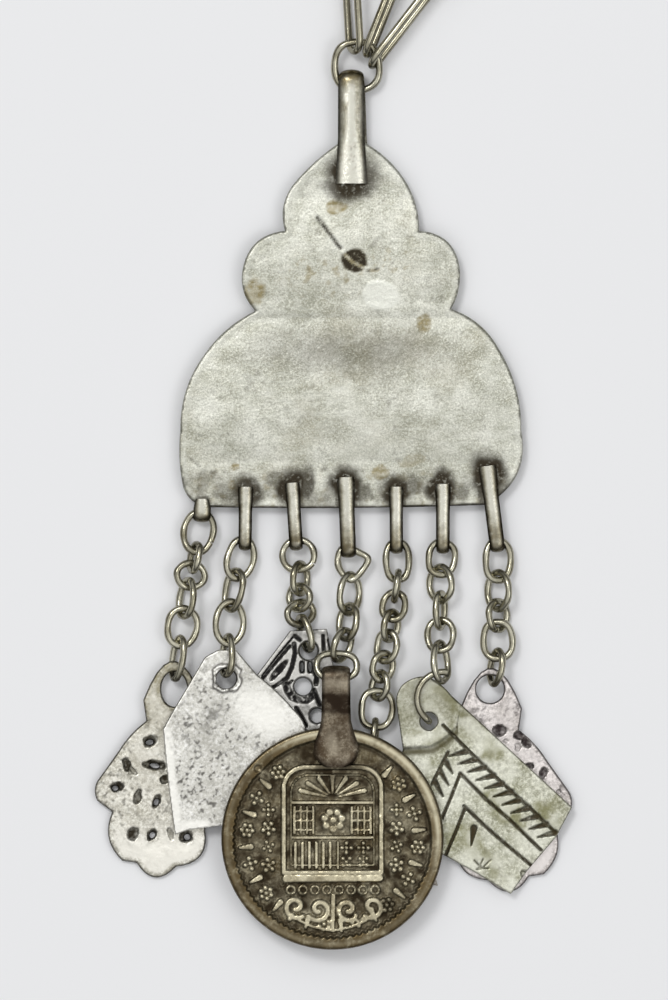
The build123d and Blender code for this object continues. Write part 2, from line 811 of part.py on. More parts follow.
# Coin with its raised rim and plain ornament, and its soldered strap bail
coin_radius = coin_diameter / 2
with BuildPart() as coin:
    with BuildSketch(Plane(origin=(*coin_centre, coin_bottom))):
        Circle(coin_radius)
    extrude(amount=coin_thickness)
    with BuildSketch(Plane(origin=(*coin_centre, coin_bottom))):
        Circle(coin_radius - coin_rim)
    extrude(amount=coin_sink, mode=Mode.SUBTRACT)
    with BuildSketch(Plane(origin=(*coin_centre, coin_top))):
        Circle(coin_radius - coin_rim)
    extrude(amount=-coin_sink, mode=Mode.SUBTRACT)
    add(
        folded_strap(
            (coin_bail_x, coin_bail_foot),
            (coin_bail_x, coin_bail_top),
            coin_thickness,
            coin_slot_height,
            coin_bail_thickness,
            (coin_bail_foot_width, coin_bail_width, coin_bail_fold_width),
            coin_bail_waist,
        )
    )
    # Ornament on the upper face: an arched panel with bars, a base bar, scrolls and a ring of studs
    with BuildSketch(Plane(origin=(*coin_centre, coin_top - coin_sink))):
        with Locations((0, panel_y)):
            RectangleRounded(panel_width, panel_height, panel_corner)
            RectangleRounded(
                panel_width - 2 * panel_line,
                panel_height - 2 * panel_line,
                panel_corner - panel_line,
                mode=Mode.SUBTRACT,
            )
            with GridLocations(panel_width / 4, 0, 3, 1):
                Rectangle(panel_line, panel_height - panel_line)
            with GridLocations(0, panel_height / 4, 1, 3):
                Rectangle(panel_width - panel_line, panel_line)
        with Locations((0, base_bar_y)):
            Rectangle(panel_width, base_bar_width)
        with Locations((0, scroll_y)):
            with GridLocations(scroll_step, 0, scroll_count, 1):
                Circle(scroll_radius)
                Circle(scroll_radius - panel_line, mode=Mode.SUBTRACT)
        with PolarLocations(stud_ring_radius, stud_count):
            Rectangle(stud_length, stud_width)
        with Locations((column_x, panel_y), (-column_x, panel_y)):
            Rectangle(base_bar_width, panel_height * 0.75)
    extrude(amount=coin_relief)

# The finished pieces
pieces = {
    "neck_chain_outer": neck_chain_outer,
    "neck_chain_inner": neck_chain_inner,
    "pendant_ring": pendant_ring,
    "plate": plate,
    "khamsa_left": khamsa_left,
    "kite_plaque": kite_plaque,
    "ornate_triangle": ornate_triangle,
    "coin": coin,
    "hidden_charm": hidden_charm,
    "chevron_plaque": chevron_plaque,
    "khamsa_right": khamsa_right,
}
for number, chain in enumerate(chains, start=1):
    pieces[f"drop_chain_{number}"] = chain

# The origin of the finished necklace is on the surface below the middle of its outer box
whole = Compound(children=[Compound(piece.part.solids()) for piece in pieces.values()]).bounding_box()
origin_shift = Location((-whole.center().X, -whole.center().Y, 0))
for name, piece in pieces.items():
    placed = origin_shift * piece.part
    placed.label = name
    export_step(placed, f"parts/{name}.step")
print("origin shift", origin_shift.position, "size", whole.size)
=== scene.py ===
"""A coin necklace lying back side up on a white surface, dressed over its CAD frame."""

from functools import reduce
from math import atan2, cos, hypot, pi, radians, sin, sqrt

import bpy
import numpy as np
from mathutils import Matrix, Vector


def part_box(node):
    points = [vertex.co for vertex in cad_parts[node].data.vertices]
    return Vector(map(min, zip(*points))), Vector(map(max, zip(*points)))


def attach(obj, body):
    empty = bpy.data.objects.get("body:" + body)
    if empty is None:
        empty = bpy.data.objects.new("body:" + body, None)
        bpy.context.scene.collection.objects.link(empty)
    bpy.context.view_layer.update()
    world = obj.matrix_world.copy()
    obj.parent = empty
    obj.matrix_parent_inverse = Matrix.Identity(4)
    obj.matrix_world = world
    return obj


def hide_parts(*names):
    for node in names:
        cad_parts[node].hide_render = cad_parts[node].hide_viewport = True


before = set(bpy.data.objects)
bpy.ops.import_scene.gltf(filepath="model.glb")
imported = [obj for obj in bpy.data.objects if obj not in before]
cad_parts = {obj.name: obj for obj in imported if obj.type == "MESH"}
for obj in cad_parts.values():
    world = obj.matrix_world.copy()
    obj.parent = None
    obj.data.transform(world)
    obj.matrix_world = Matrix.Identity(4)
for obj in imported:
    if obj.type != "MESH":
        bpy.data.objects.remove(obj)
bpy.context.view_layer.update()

MM = 0.001
FAR = 1e9
TINY = 1e-12

# The drawing frame of the part, in millimetres: its origin is below the middle of the plate's bottom edge.
# The coin's box says where that is in the shared frame.
COIN_CENTRE = (-2.25, -41.5)
COIN_RADIUS = 13.875
coin_low, coin_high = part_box("coin")
SHIFT_X = (coin_low[0] + coin_high[0]) / 2 / MM - COIN_CENTRE[0]
SHIFT_Y = coin_low[1] / MM + COIN_RADIUS - COIN_CENTRE[1]

# The photograph's pixels in the drawing frame
PIXEL = 0.125
PIXEL_X = 350.5
PIXEL_Y = 506.0


def from_photo(pixel_x, pixel_y):
    """A photograph's pixel as a point of the drawing frame, in millimetres."""
    return ((pixel_x - PIXEL_X) * PIXEL, (PIXEL_Y - pixel_y) * PIXEL)


# Sizes shared with the part
PLATE_WIDTH = 42.6
PLATE_HEIGHT = 45.25
PLATE_BOTTOM = 0.8
PLATE_THICKNESS = 1.3
PLATE_TOP = PLATE_BOTTOM + PLATE_THICKNESS
TIP_HEIGHT = 0.03
TAB_HEIGHT = 0.95


# Noise and masks


HASH_U = 127.1
HASH_V = 311.7
HASH_SEED = 7.13
HASH_SPREAD = 43758.5453


def noise(x, y, size, seed, octaves=3):
    """Smooth value noise from -1 to 1, with features of about the given size."""
    total = np.zeros_like(x)
    weight = 1.0
    weights = 0.0
    for octave in range(octaves):
        turn = 0.7 + 1.1 * octave
        u = (x * cos(turn) + y * sin(turn)) / size * 2**octave + seed * 17.31
        v = (y * cos(turn) - x * sin(turn)) / size * 2**octave - seed * 9.77
        cell_u = np.floor(u)
        cell_v = np.floor(v)
        part_u = u - cell_u
        part_v = v - cell_v
        ease_u = part_u * part_u * (3 - 2 * part_u)
        ease_v = part_v * part_v * (3 - 2 * part_v)

        def corner(shift_u, shift_v):
            mixed = (cell_u + shift_u) * HASH_U + (cell_v + shift_v) * HASH_V + seed * HASH_SEED
            scattered = np.sin(mixed) * HASH_SPREAD
            return scattered - np.floor(scattered)

        low = corner(0, 0) * (1 - ease_u) + corner(1, 0) * ease_u
        high = corner(0, 1) * (1 - ease_u) + corner(1, 1) * ease_u
        total += weight * (low * (1 - ease_v) + high * ease_v)
        weights += weight
        weight *= 0.5
    return total / weights * 2 - 1


def fade(value, start, end):
    """0 at start, 1 at end, smooth between."""
    share = np.clip((value - start) / (end - start), 0, 1)
    return share * share * (3 - 2 * share)


def spot(x, y, centre, radii, turn, soft, ragged=0.0, seed=1):
    """A soft-edged oval mask, 1 inside."""
    angle = radians(turn)
    across = (x - centre[0]) * cos(angle) + (y - centre[1]) * sin(angle)
    along = -(x - centre[0]) * sin(angle) + (y - centre[1]) * cos(angle)
    reach = np.sqrt((across / radii[0]) ** 2 + (along / radii[1]) ** 2)
    if ragged:
        reach = reach + ragged * noise(x, y, min(radii) * 0.7, seed)
    return 1 - fade(reach, 1 - soft, 1 + soft * 0.4)


def segment_distance(x, y, start, end):
    """Distance from points to a segment, and the nearest point on it."""
    span_x = end[0] - start[0]
    span_y = end[1] - start[1]
    square = span_x**2 + span_y**2 + TINY
    share = np.clip(((x - start[0]) * span_x + (y - start[1]) * span_y) / square, 0, 1)
    near_x = start[0] + share * span_x
    near_y = start[1] + share * span_y
    return np.hypot(x - near_x, y - near_y), near_x, near_y


def stroke(x, y, points, width, soft=0.4):
    """A soft-edged line mask through a few points."""
    distance = np.full_like(x, FAR)
    for start, end in zip(points, points[1:]):
        distance = np.minimum(distance, segment_distance(x, y, start, end)[0])
    return 1 - fade(distance, width / 2 * (1 - soft), width / 2 * (1 + soft))


WEDGE_SOFT = 0.12


def wedge_between(x, y, start, end, start_width, end_width=0.05):
    """A tapering mark from a wide start to a narrow end."""
    distance, near_x, near_y = segment_distance(x, y, start, end)
    length = hypot(end[0] - start[0], end[1] - start[1])
    share = np.hypot(near_x - start[0], near_y - start[1]) / length
    half = (start_width + (end_width - start_width) * share) / 2
    return 1 - fade(distance - half, -WEDGE_SOFT / 2, WEDGE_SOFT)


def wedge(x, y, start, end, start_width):
    """A tapering punched mark between two of the photograph's pixels."""
    return wedge_between(x, y, from_photo(*start), from_photo(*end), start_width)


def photo_line(x, y, pixels, width, soft=0.35):
    """A soft line through a few of the photograph's pixels."""
    return stroke(x, y, [from_photo(*pixel) for pixel in pixels], width, soft)


def photo_spot(x, y, pixel, radii, turn, soft, ragged=0.0, seed=1):
    """A soft-edged oval mask about one of the photograph's pixels, radii in millimetres."""
    return spot(x, y, from_photo(*pixel), radii, turn, soft, ragged, seed)


def most(*masks):
    """The strongest of a few masks at each point."""
    return reduce(np.maximum, masks)


def blots(x, y, rows, soft, ragged, seed_column, seed_rate):
    """The ragged ovals of a table: centre in the photograph, radii in millimetres, turn, strength."""
    masks = []
    for row in rows:
        seed = row[seed_column] * seed_rate
        masks.append(row[5] * photo_spot(x, y, row[:2], row[2:4], row[4], soft, ragged, seed))
    return most(*masks)


def bell(value, width):
    """1 where a value is 0, falling off smoothly to both sides."""
    return np.exp(-((value / width) ** 2))


# Outlines


def outline_points(rows, width, height, centre, arc_steps=7):
    """A closed line through corner rows with bulging edges, in the drawing frame."""
    points = []
    for row, following in zip(rows, rows[1:] + rows[:1]):
        start = np.array([row[0] * width, row[1] * height])
        end = np.array([following[0] * width, following[1] * height])
        span = end - start
        length = np.hypot(*span)
        side = np.array([-span[1], span[0]]) / length
        bulge = -row[2] * width
        steps = arc_steps if row[2] else 1
        for step in range(steps):
            share = step / steps
            points.append(start + span * share + side * bulge * 4 * share * (1 - share))
    return np.array(points) + np.array(centre)


def oval_points(centre, radii, turn, count, wobble=0.0, seed=1):
    """A closed oval line, a little uneven where wobble is given."""
    angles = np.linspace(0, 2 * pi, count, endpoint=False)
    swell = 1 + wobble * noise(np.cos(angles) * 3, np.sin(angles) * 3, 1.5, seed)
    across = radii[0] * np.cos(angles) * swell
    along = radii[1] * np.sin(angles) * swell
    angle = radians(turn)
    x = centre[0] + across * cos(angle) - along * sin(angle)
    y = centre[1] + across * sin(angle) + along * cos(angle)
    return np.stack([x, y], 1)


# Meshes


SHARP_ANGLE = 40


def finish_mesh(name, vertices, faces, metal_name, wear_and_light):
    """A smooth-shaded object from drawing coordinates, in millimetres, placed in the shared frame."""
    points = np.asarray(vertices, float).copy()
    points[:, 0] += SHIFT_X
    points[:, 1] += SHIFT_Y
    points *= MM
    mesh = bpy.data.meshes.new(name)
    mesh.from_pydata(points.tolist(), [], faces)
    mesh.materials.append(metals[metal_name])
    mesh.polygons.foreach_set("use_smooth", [True] * len(mesh.polygons))
    layer = mesh.attributes.new("wear_and_light", "FLOAT_COLOR", "POINT")
    colours = np.ones((len(points), 4))
    colours[:, :3] = np.clip(wear_and_light, 0, 1)
    layer.data.foreach_set("color", colours.ravel())
    mesh.validate()
    mesh.update()
    mesh.set_sharp_from_angle(angle=radians(SHARP_ANGLE))
    piece = bpy.data.objects.new(name, mesh)
    bpy.context.collection.objects.link(piece)
    return piece


# A grid point this near an edge, as a share of the cell, moves onto it
RIM_REACH = 0.501


def relief_sheet(name, outline, holes, cell, surface, metal_name):
    """A closed sheet on a fine grid whose rim is pulled onto its outline and holes.

    surface(x, y, depth) gives its top, its underside and the three masks of wear and painted light, with
    depth the distance in from the nearest edge.
    """
    loops = [np.asarray(outline)] + [np.asarray(hole) for hole in holes]
    low = loops[0].min(0) - cell
    high = loops[0].max(0) + cell * 2
    grid_x, grid_y = np.meshgrid(np.arange(low[0], high[0], cell), np.arange(low[1], high[1], cell))
    best = np.full(grid_x.shape, FAR)
    near_x = np.zeros_like(grid_x)
    near_y = np.zeros_like(grid_x)
    inside = np.zeros(grid_x.shape, bool)
    for loop in loops:
        for start, end in zip(loop, np.roll(loop, -1, 0)):
            distance, x, y = segment_distance(grid_x, grid_y, start, end)
            closer = distance < best
            best = np.where(closer, distance, best)
            near_x = np.where(closer, x, near_x)
            near_y = np.where(closer, y, near_y)
            if start[1] != end[1]:
                crosses = (start[1] > grid_y) != (end[1] > grid_y)
                at = start[0] + (grid_y - start[1]) / (end[1] - start[1]) * (end[0] - start[0])
                inside ^= crosses & (grid_x < at)
    on_rim = best <= RIM_REACH * cell
    kept = inside | on_rim
    x = np.where(on_rim, near_x, grid_x)
    y = np.where(on_rim, near_y, grid_y)
    depth = np.where(on_rim, 0.0, best)
    core = inside & ~on_rim
    rows, columns = grid_x.shape
    index = -np.ones(grid_x.shape, int)
    top_faces = []
    for row in range(rows - 1):
        for column in range(columns - 1):
            corners = ((row, column), (row, column + 1), (row + 1, column + 1), (row + 1, column))
            ring = [corner for corner in corners if kept[corner]]
            if len(ring) < 3:
                continue
            if not any(core[corner] for corner in ring):
                middle_in = sum(inside[corner] for corner in corners)
                if middle_in < 3 or len(ring) < 4:
                    continue
            top_faces.append(ring)
    used = sorted({corner for ring in top_faces for corner in ring})
    for number, corner in enumerate(used):
        index[corner] = number
    rows_used = np.array([corner[0] for corner in used])
    columns_used = np.array([corner[1] for corner in used])
    x = x[rows_used, columns_used]
    y = y[rows_used, columns_used]
    depth = depth[rows_used, columns_used]
    top, under, wear_and_light = surface(x, y, depth)
    count = len(used)
    vertices = np.concatenate([np.stack([x, y, top], 1), np.stack([x, y, under], 1)])
    faces = [[index[corner] for corner in ring] for ring in top_faces]
    edges = {}
    for face in faces:
        for start, end in zip(face, face[1:] + face[:1]):
            if (end, start) in edges:
                del edges[(end, start)]
            else:
                edges[(start, end)] = True
    walls = [[end, start, start + count, end + count] for start, end in edges]
    under_faces = [[number + count for number in face[::-1]] for face in faces]
    wear_and_light = np.stack(wear_and_light, 1)
    faces += under_faces + walls
    return finish_mesh(name, vertices, faces, metal_name, np.concatenate([wear_and_light, wear_and_light]))


def rounded(depth, radius):
    """How far a rounded edge falls below its flat top, at a depth in from the edge."""
    inward = np.clip(depth / radius, 0, 1)
    return radius * (1 - np.sqrt(np.clip(1 - (1 - inward) ** 2, 0, 1)))


WIRE_SIDES = 10


def tube(path, radii, closed, sides=WIRE_SIDES):
    """Vertices and faces of a wire along a path, with its radius at each point."""
    path = np.asarray(path, float)
    count = len(path)
    if closed:
        ahead = np.roll(path, -1, 0) - np.roll(path, 1, 0)
    else:
        ahead = np.gradient(path, axis=0)
    ahead /= np.linalg.norm(ahead, axis=1)[:, None]
    side = np.cross(ahead, [0.0, 0.0, 1.0])
    flat = np.linalg.norm(side, axis=1) < 0.05
    side[flat] = np.cross(ahead[flat], [0.3, 0.2, 0.9])
    side /= np.linalg.norm(side, axis=1)[:, None]
    for number in range(1, count):
        turned = side[number - 1] - ahead[number] * (side[number - 1] @ ahead[number])
        side[number] = turned / np.linalg.norm(turned)
    up = np.cross(side, ahead)
    twist = 0.0
    if closed:
        last = side[-1] - ahead[0] * (side[-1] @ ahead[0])
        last /= np.linalg.norm(last)
        twist = atan2(last @ up[0], last @ side[0])
    vertices = []
    for number in range(count):
        turn = -twist * number / count
        for step in range(sides):
            angle = 2 * pi * step / sides + turn
            out = side[number] * cos(angle) + up[number] * sin(angle)
            vertices.append(path[number] + radii[number] * out)
    faces = []
    for number in range(count if closed else count - 1):
        low = number * sides
        high = (number + 1) % count * sides
        for step in range(sides):
            beside = (step + 1) % sides
            faces.append([low + step, low + beside, high + beside, high + step])
    if not closed:
        faces.append(list(range(sides))[::-1])
        faces.append([(count - 1) * sides + step for step in range(sides)])
    return np.array(vertices), faces


FOLD_STEPS = 16
# Height of a strap's upright flank, as a share of its thickness
FLANK = 0.35


def strap(leg_end, fold, slot, height, thickness, rows, back_share, dome, steps, across, back_shift=0.0):
    """Vertices and faces of a folded strap with a domed face: front leg, fold, back leg.

    rows gives the strap's width along the front leg as (share of the length, width) pairs, and
    back_share the back leg's length as a share of the front leg's.
    """
    start = np.array(leg_end, float)
    span = np.array(fold, float) - start
    length = np.hypot(*span)
    along = span / length
    side = np.array([along[1], -along[0]])
    inner = slot / 2
    bend = length - inner - thickness
    path = []
    for share in np.linspace(0, 1, steps):
        path.append((share * bend, inner, 0.0, 1.0))
    for angle in np.linspace(0, pi, FOLD_STEPS)[1:-1]:
        path.append((bend + inner * sin(angle), inner * cos(angle), sin(angle), cos(angle)))
    for share in np.linspace(1, 1 - back_share, steps // 2):
        path.append((share * bend, -inner, 0.0, -1.0))
    shares = [row[0] for row in rows]
    widths = [row[1] for row in rows]
    vertices = []
    for run, level, out_run, out_level in path:
        half = np.interp(run / length, shares, widths) / 2
        section = [(-half, 0.0), (-half, thickness * FLANK)]
        for step in range(1, across - 1):
            offset = -1 + 2 * step / (across - 1)
            rise = thickness * (1 - dome + dome * sqrt(1 - offset**2))
            section.append((half * offset, rise))
        section += [(half, thickness * FLANK), (half, 0.0)]
        for offset, rise in section:
            drift = back_shift * (1 - out_level) / 2 * (1 - run / length)
            flat = start + along * (run + out_run * rise) + side * (offset + drift)
            vertices.append((flat[0], flat[1], height + level + out_level * rise))
    sides = len(section)
    faces = []
    for number in range(len(path) - 1):
        for step in range(sides):
            beside = (step + 1) % sides
            low = number * sides
            high = low + sides
            faces.append([low + step, high + step, high + beside, low + beside])
    faces.append(list(range(sides)))
    faces.append([(len(path) - 1) * sides + step for step in range(sides)][::-1])
    return np.array(vertices), faces


# Materials


def shader_node(tree, kind, inputs, **options):
    """The outputs of a new shader node whose options are set and whose inputs are given or linked."""
    made = tree.nodes.new("ShaderNode" + kind)
    for option, value in options.items():
        setattr(made, option, value)
    for socket, value in inputs.items():
        if isinstance(value, bpy.types.NodeSocket):
            tree.links.new(value, made.inputs[socket])
        elif isinstance(value, tuple):
            made.inputs[socket].default_value = (*value, 1.0)
        else:
            made.inputs[socket].default_value = value
    return made.outputs


MOTTLE_SCALE = 260.0
BUMP_DISTANCE = 0.00012


def metal(
    name,
    base,
    lighter,
    dark,
    stain,
    roughness=(0.32, 0.5),
    metallic=0.9,
    grain=900.0,
    bump=0.3,
    grit=0.6,
    wear_and_light=True,
):
    """A worn metal: mottled base with dark grit and painted glints, dark tarnish and painted shade, coloured
    stains, and polish and painted highlights where the masks say.
    """
    material = bpy.data.materials.new(name)
    material.use_nodes = True
    tree = material.node_tree
    tree.nodes.clear()
    place = shader_node(tree, "TexCoord", {})["Object"]

    def cloud(scale, detail=4.0, rough=0.6):
        inputs = {"Vector": place, "Scale": scale, "Detail": detail, "Roughness": rough}
        return shader_node(tree, "TexNoise", inputs)["Fac"]

    def ramp(value, low, high):
        return shader_node(tree, "MapRange", {"Value": value, "From Min": low, "From Max": high})["Result"]

    def mix(factor, first, second):
        return shader_node(tree, "Mix", {0: factor, 6: first, 7: second}, data_type="RGBA")[2]

    def maths(operation, first, second):
        return shader_node(tree, "Math", {0: first, 1: second}, operation=operation, use_clamp=True)[0]

    broad = cloud(MOTTLE_SCALE)
    fine = cloud(grain * 2.8, 4.0, 0.75)
    colour = mix(ramp(broad, 0.35, 0.68), base, lighter)
    shade = tuple(0.45 * part + 0.2 * deep for part, deep in zip(base, dark))
    colour = mix(maths("MULTIPLY", ramp(fine, 0.50, 0.63), grit), colour, shade)
    # Lighter specks: painted glints of light on the grain.
    glint = tuple(min(1.0, 1.35 * part) for part in lighter)
    colour = mix(maths("MULTIPLY", ramp(fine, 0.50, 0.38), grit), colour, glint)
    level = broad
    if wear_and_light:
        # The masks: tarnish and painted shade, stains, and polish and painted highlights.
        masks = shader_node(tree, "Attribute", {}, attribute_name="wear_and_light")["Color"]
        tarnish_and_shade, stains, polish_and_highlight = shader_node(tree, "SeparateColor", {0: masks})
        patchy = ramp(cloud(grain, 4.0, 0.65), 0.3, 0.7)
        colour = mix(maths("MULTIPLY", stains, maths("ADD", patchy, 0.45)), colour, stain)
        tarnished_and_shaded = maths("MULTIPLY", tarnish_and_shade, maths("ADD", patchy, 0.6))
        colour = mix(tarnished_and_shaded, colour, dark)
        clean = maths("SUBTRACT", 1.0, tarnished_and_shaded)
        polished_and_highlit = maths("MULTIPLY", polish_and_highlight, maths("MULTIPLY", clean, 0.95))
        colour = mix(polished_and_highlit, colour, lighter)
        level = maths("ADD", maths("MULTIPLY", broad, 0.7), maths("MULTIPLY", tarnish_and_shade, 0.6))
    spread = {"Value": level, "To Min": roughness[0], "To Max": roughness[1]}
    relief = {"Strength": bump, "Distance": BUMP_DISTANCE, "Height": cloud(grain * 1.6, 6.0, 0.7)}
    inputs = {
        "Base Color": colour,
        "Metallic": metallic,
        "Roughness": shader_node(tree, "MapRange", spread)["Result"],
        "Normal": shader_node(tree, "Bump", relief)["Normal"],
    }
    shader_node(tree, "OutputMaterial", {0: shader_node(tree, "BsdfPrincipled", inputs)[0]})
    return material


# The metals' colours. Columns: name, base, lighter (also for polish and painted highlights), dark (also for
# tarnish and painted shade) and stain colour.
METAL_COLOURS = {
    "plate_silver": ((0.33, 0.334, 0.276), (0.6, 0.605, 0.545), (0.03, 0.024, 0.015), (0.21, 0.175, 0.085)),
    "chain_silver": ((0.245, 0.228, 0.155), (0.58, 0.56, 0.45), (0.03, 0.024, 0.014), (0.15, 0.12, 0.055)),
    "strip_silver": ((0.33, 0.32, 0.25), (0.66, 0.65, 0.57), (0.03, 0.024, 0.013), (0.21, 0.17, 0.085)),
    "khamsa_silver": ((0.41, 0.39, 0.32), (0.78, 0.76, 0.69), (0.025, 0.02, 0.012), (0.22, 0.195, 0.11)),
    "kite_silver": ((0.5, 0.49, 0.44), (0.8, 0.79, 0.74), (0.05, 0.045, 0.04), (0.25, 0.24, 0.2)),
    "ornate_silver": ((0.38, 0.37, 0.33), (0.62, 0.61, 0.58), (0.012, 0.011, 0.011), (0.12, 0.11, 0.1)),
    "chevron_silver": ((0.29, 0.29, 0.205), (0.68, 0.68, 0.59), (0.032, 0.022, 0.009), (0.18, 0.175, 0.08)),
    "coin_bronze": ((0.185, 0.148, 0.078), (0.56, 0.515, 0.37), (0.022, 0.015, 0.007), (0.1, 0.068, 0.026)),
    "khamsa_silver_pink": (
        (0.45, 0.415, 0.395), (0.68, 0.64, 0.62),
        (0.03, 0.022, 0.022), (0.26, 0.22, 0.16),
    ),
    "coin_bail_copper": ((0.12, 0.093, 0.06), (0.4, 0.355, 0.27), (0.018, 0.011, 0.006), (0.1, 0.064, 0.034)),
    # A darker copy of the silver, as painted shade for the charm that lies under the coin.
    "silver_in_shade": ((0.2, 0.18, 0.16), (0.3, 0.28, 0.25), (0.03, 0.02, 0.02), (0.1, 0.09, 0.07)),
}
# Finishes that differ from the usual one
METAL_FINISHES = {
    "plate_silver": {"grain": 1500.0, "roughness": (0.28, 0.4), "bump": 0.6, "grit": 0.42},
    "chain_silver": {"roughness": (0.12, 0.25), "metallic": 0.95, "bump": 0.2, "grit": 0.2},
    "strip_silver": {"roughness": (0.16, 0.3), "metallic": 0.95, "bump": 0.3, "grit": 0.3},
    "kite_silver": {"grit": 0.55, "roughness": (0.3, 0.46)},
    "chevron_silver": {"grit": 0.5, "bump": 0.5},
    "coin_bronze": {"roughness": (0.25, 0.42), "grit": 0.5},
    "coin_bail_copper": {"roughness": (0.28, 0.42)},
    "silver_in_shade": {"wear_and_light": False},
}
metals = {
    name: metal(name, *colours, **METAL_FINISHES.get(name, {})) for name, colours in METAL_COLOURS.items()
}

# Plate

PLATE_OUTLINE = [
    (-0.424, -0.003, 0.006),
    (0.397, 0.003, 0.045),
    (0.501, 0.210, 0.018),
    (0.435, 0.434, 0.018),
    (0.295, 0.544, 0.009),
    (0.321, 0.652, 0.035),
    (0.201, 0.760, 0.010),
    (0.166, 0.890, 0.010),
    (0.054, 0.997, 0.018),
    (-0.043, 0.997, 0.006),
    (-0.172, 0.884, 0.016),
    (-0.192, 0.760, 0.032),
    (-0.317, 0.652, 0.016),
    (-0.279, 0.539, 0.012),
    (-0.424, 0.425, 0.021),
    (-0.499, 0.210, 0.007),
    (-0.491, 0.052, 0.013),
]
PLATE_CELL = 0.2
# Radii of the sheet's edge, and the height of its rim over the field
PLATE_EDGE = 0.24
PLATE_UNDER_EDGE = 0.3
RIM_LIFT = 0.05
# The domes across the sheet, from low to high
DOME_START = 5.6
DOME_END = 23.5
DOME_RISE = 0.45
CROWN_END = 38.5
CROWN_RISE = 0.3
RIDGE_HEIGHT = 0.05
CRACK_DEPTH = 0.12
PIT_DEPTH = 0.06
PATCH_HEIGHT = 0.03
STUB_DEPTH = 0.1
# The bail's place and thickness, and its widths along the front leg as (share of the length, width) rows
BAIL_X = 0.1
BAIL_FOOT = 40.3
BAIL_TOP = 54.6
BAIL_THICKNESS = 0.8
BAIL_SKEW = 0.45
BAIL_WIDTHS = [(0, 3.95), (0.15, 3.75), (0.4, 3.35), (0.85, 3.3), (0.93, 3.1), (1.0, 2.6)]
LOOP_THICKNESS = 0.5
# The share of a strap's thickness that is domed, and of its front leg that its back leg reaches
STRAP_DOME = 0.85
BACK_SHARE = 0.97
# The seven loops along the bottom edge.
# Columns: x and y of the front leg's end, x and y of the fold, width at the leg's end, in its middle
# and at the fold.
LOOPS = [
    (-18.55, 0.9, -18.55, -2.05, 1.7, 2.15, 1.9),
    (-13.1, 2.4, -13.2, -5.6, 1.95, 1.65, 1.5),
    (-7.3, 2.9, -6.75, -5.6, 1.85, 1.7, 1.55),
    (-0.6, 3.6, -0.25, -6.5, 2.2, 1.95, 1.85),
    (5.7, 2.4, 5.75, -6.0, 1.85, 1.65, 1.45),
    (11.55, 2.75, 11.55, -6.0, 1.95, 1.7, 1.5),
    (17.1, 5.0, 18.45, -5.8, 2.25, 1.9, 1.65),
]
# Painted shade round the feet of the bail and the loops. Columns: centre in the photograph, radii in
# millimetres, turn, strength.
FOOT_SHADE_HALOS = [
    (351, 174, 4.3, 3.9, 0, 1.0),
    (352, 186, 3.9, 2.3, 0, 0.9),
    (202, 490, 1.0, 1.6, 0, 0.5),
    (246, 492, 2.3, 2.7, 0, 0.95),
    (236, 499, 1.4, 0.9, 0, 0.7),
    (276, 480, 1.4, 1.4, 0, 0.6),
    (292, 489, 2.3, 2.9, 0, 1.0),
    (306, 485, 1.3, 2.6, 0, 0.9),
    (345, 486, 2.5, 3.5, 0, 1.0),
    (360, 494, 1.5, 1.6, 0, 0.7),
    (396, 492, 2.1, 2.6, 0, 1.0),
    (413, 486, 1.6, 1.6, 0, 0.65),
    (441, 489, 2.2, 2.8, 0, 1.0),
    (460, 494, 1.3, 1.2, 0, 0.6),
    (488, 475, 2.7, 3.2, 0, 1.0),
    (499, 488, 1.8, 2.4, 0, 0.8),
]
# Stains. Columns: centre in the photograph, radii in millimetres, turn, strength.
PLATE_STAINS = [
    (336, 207, 1.5, 0.95, 0, 1.0),
    (255, 291, 1.6, 1.8, 0, 0.95),
    (424, 323, 1.0, 1.2, 0, 0.9),
    (379, 472, 1.3, 1.0, 0, 0.85),
    (235, 467, 0.65, 0.5, 0, 1.0),
    (374, 270, 0.8, 0.25, 0, 0.9),
    (232, 485, 0.5, 0.7, 0, 0.9),
    (412, 461, 2.2, 0.9, 20, 0.45),
]
# Marks on the plate, as pixels of the photograph
CRACK = [(317, 217), (326, 229), (334, 240), (341, 249)]
PIT_LINE = [(343, 252), (352, 262), (366, 269)]
PIT_ARM = [(366, 270), (372, 271), (379, 268)]
SCRATCH_HIGH = [(292, 462), (292, 475)]
SCRATCH_LEFT = [(190, 459), (200, 467)]


def dome(y, start, end, rise):
    """Height of a shallow arc across the plate."""
    share = np.clip((y - start) / (end - start), 0, 1)
    return rise * 4 * share * (1 - share)


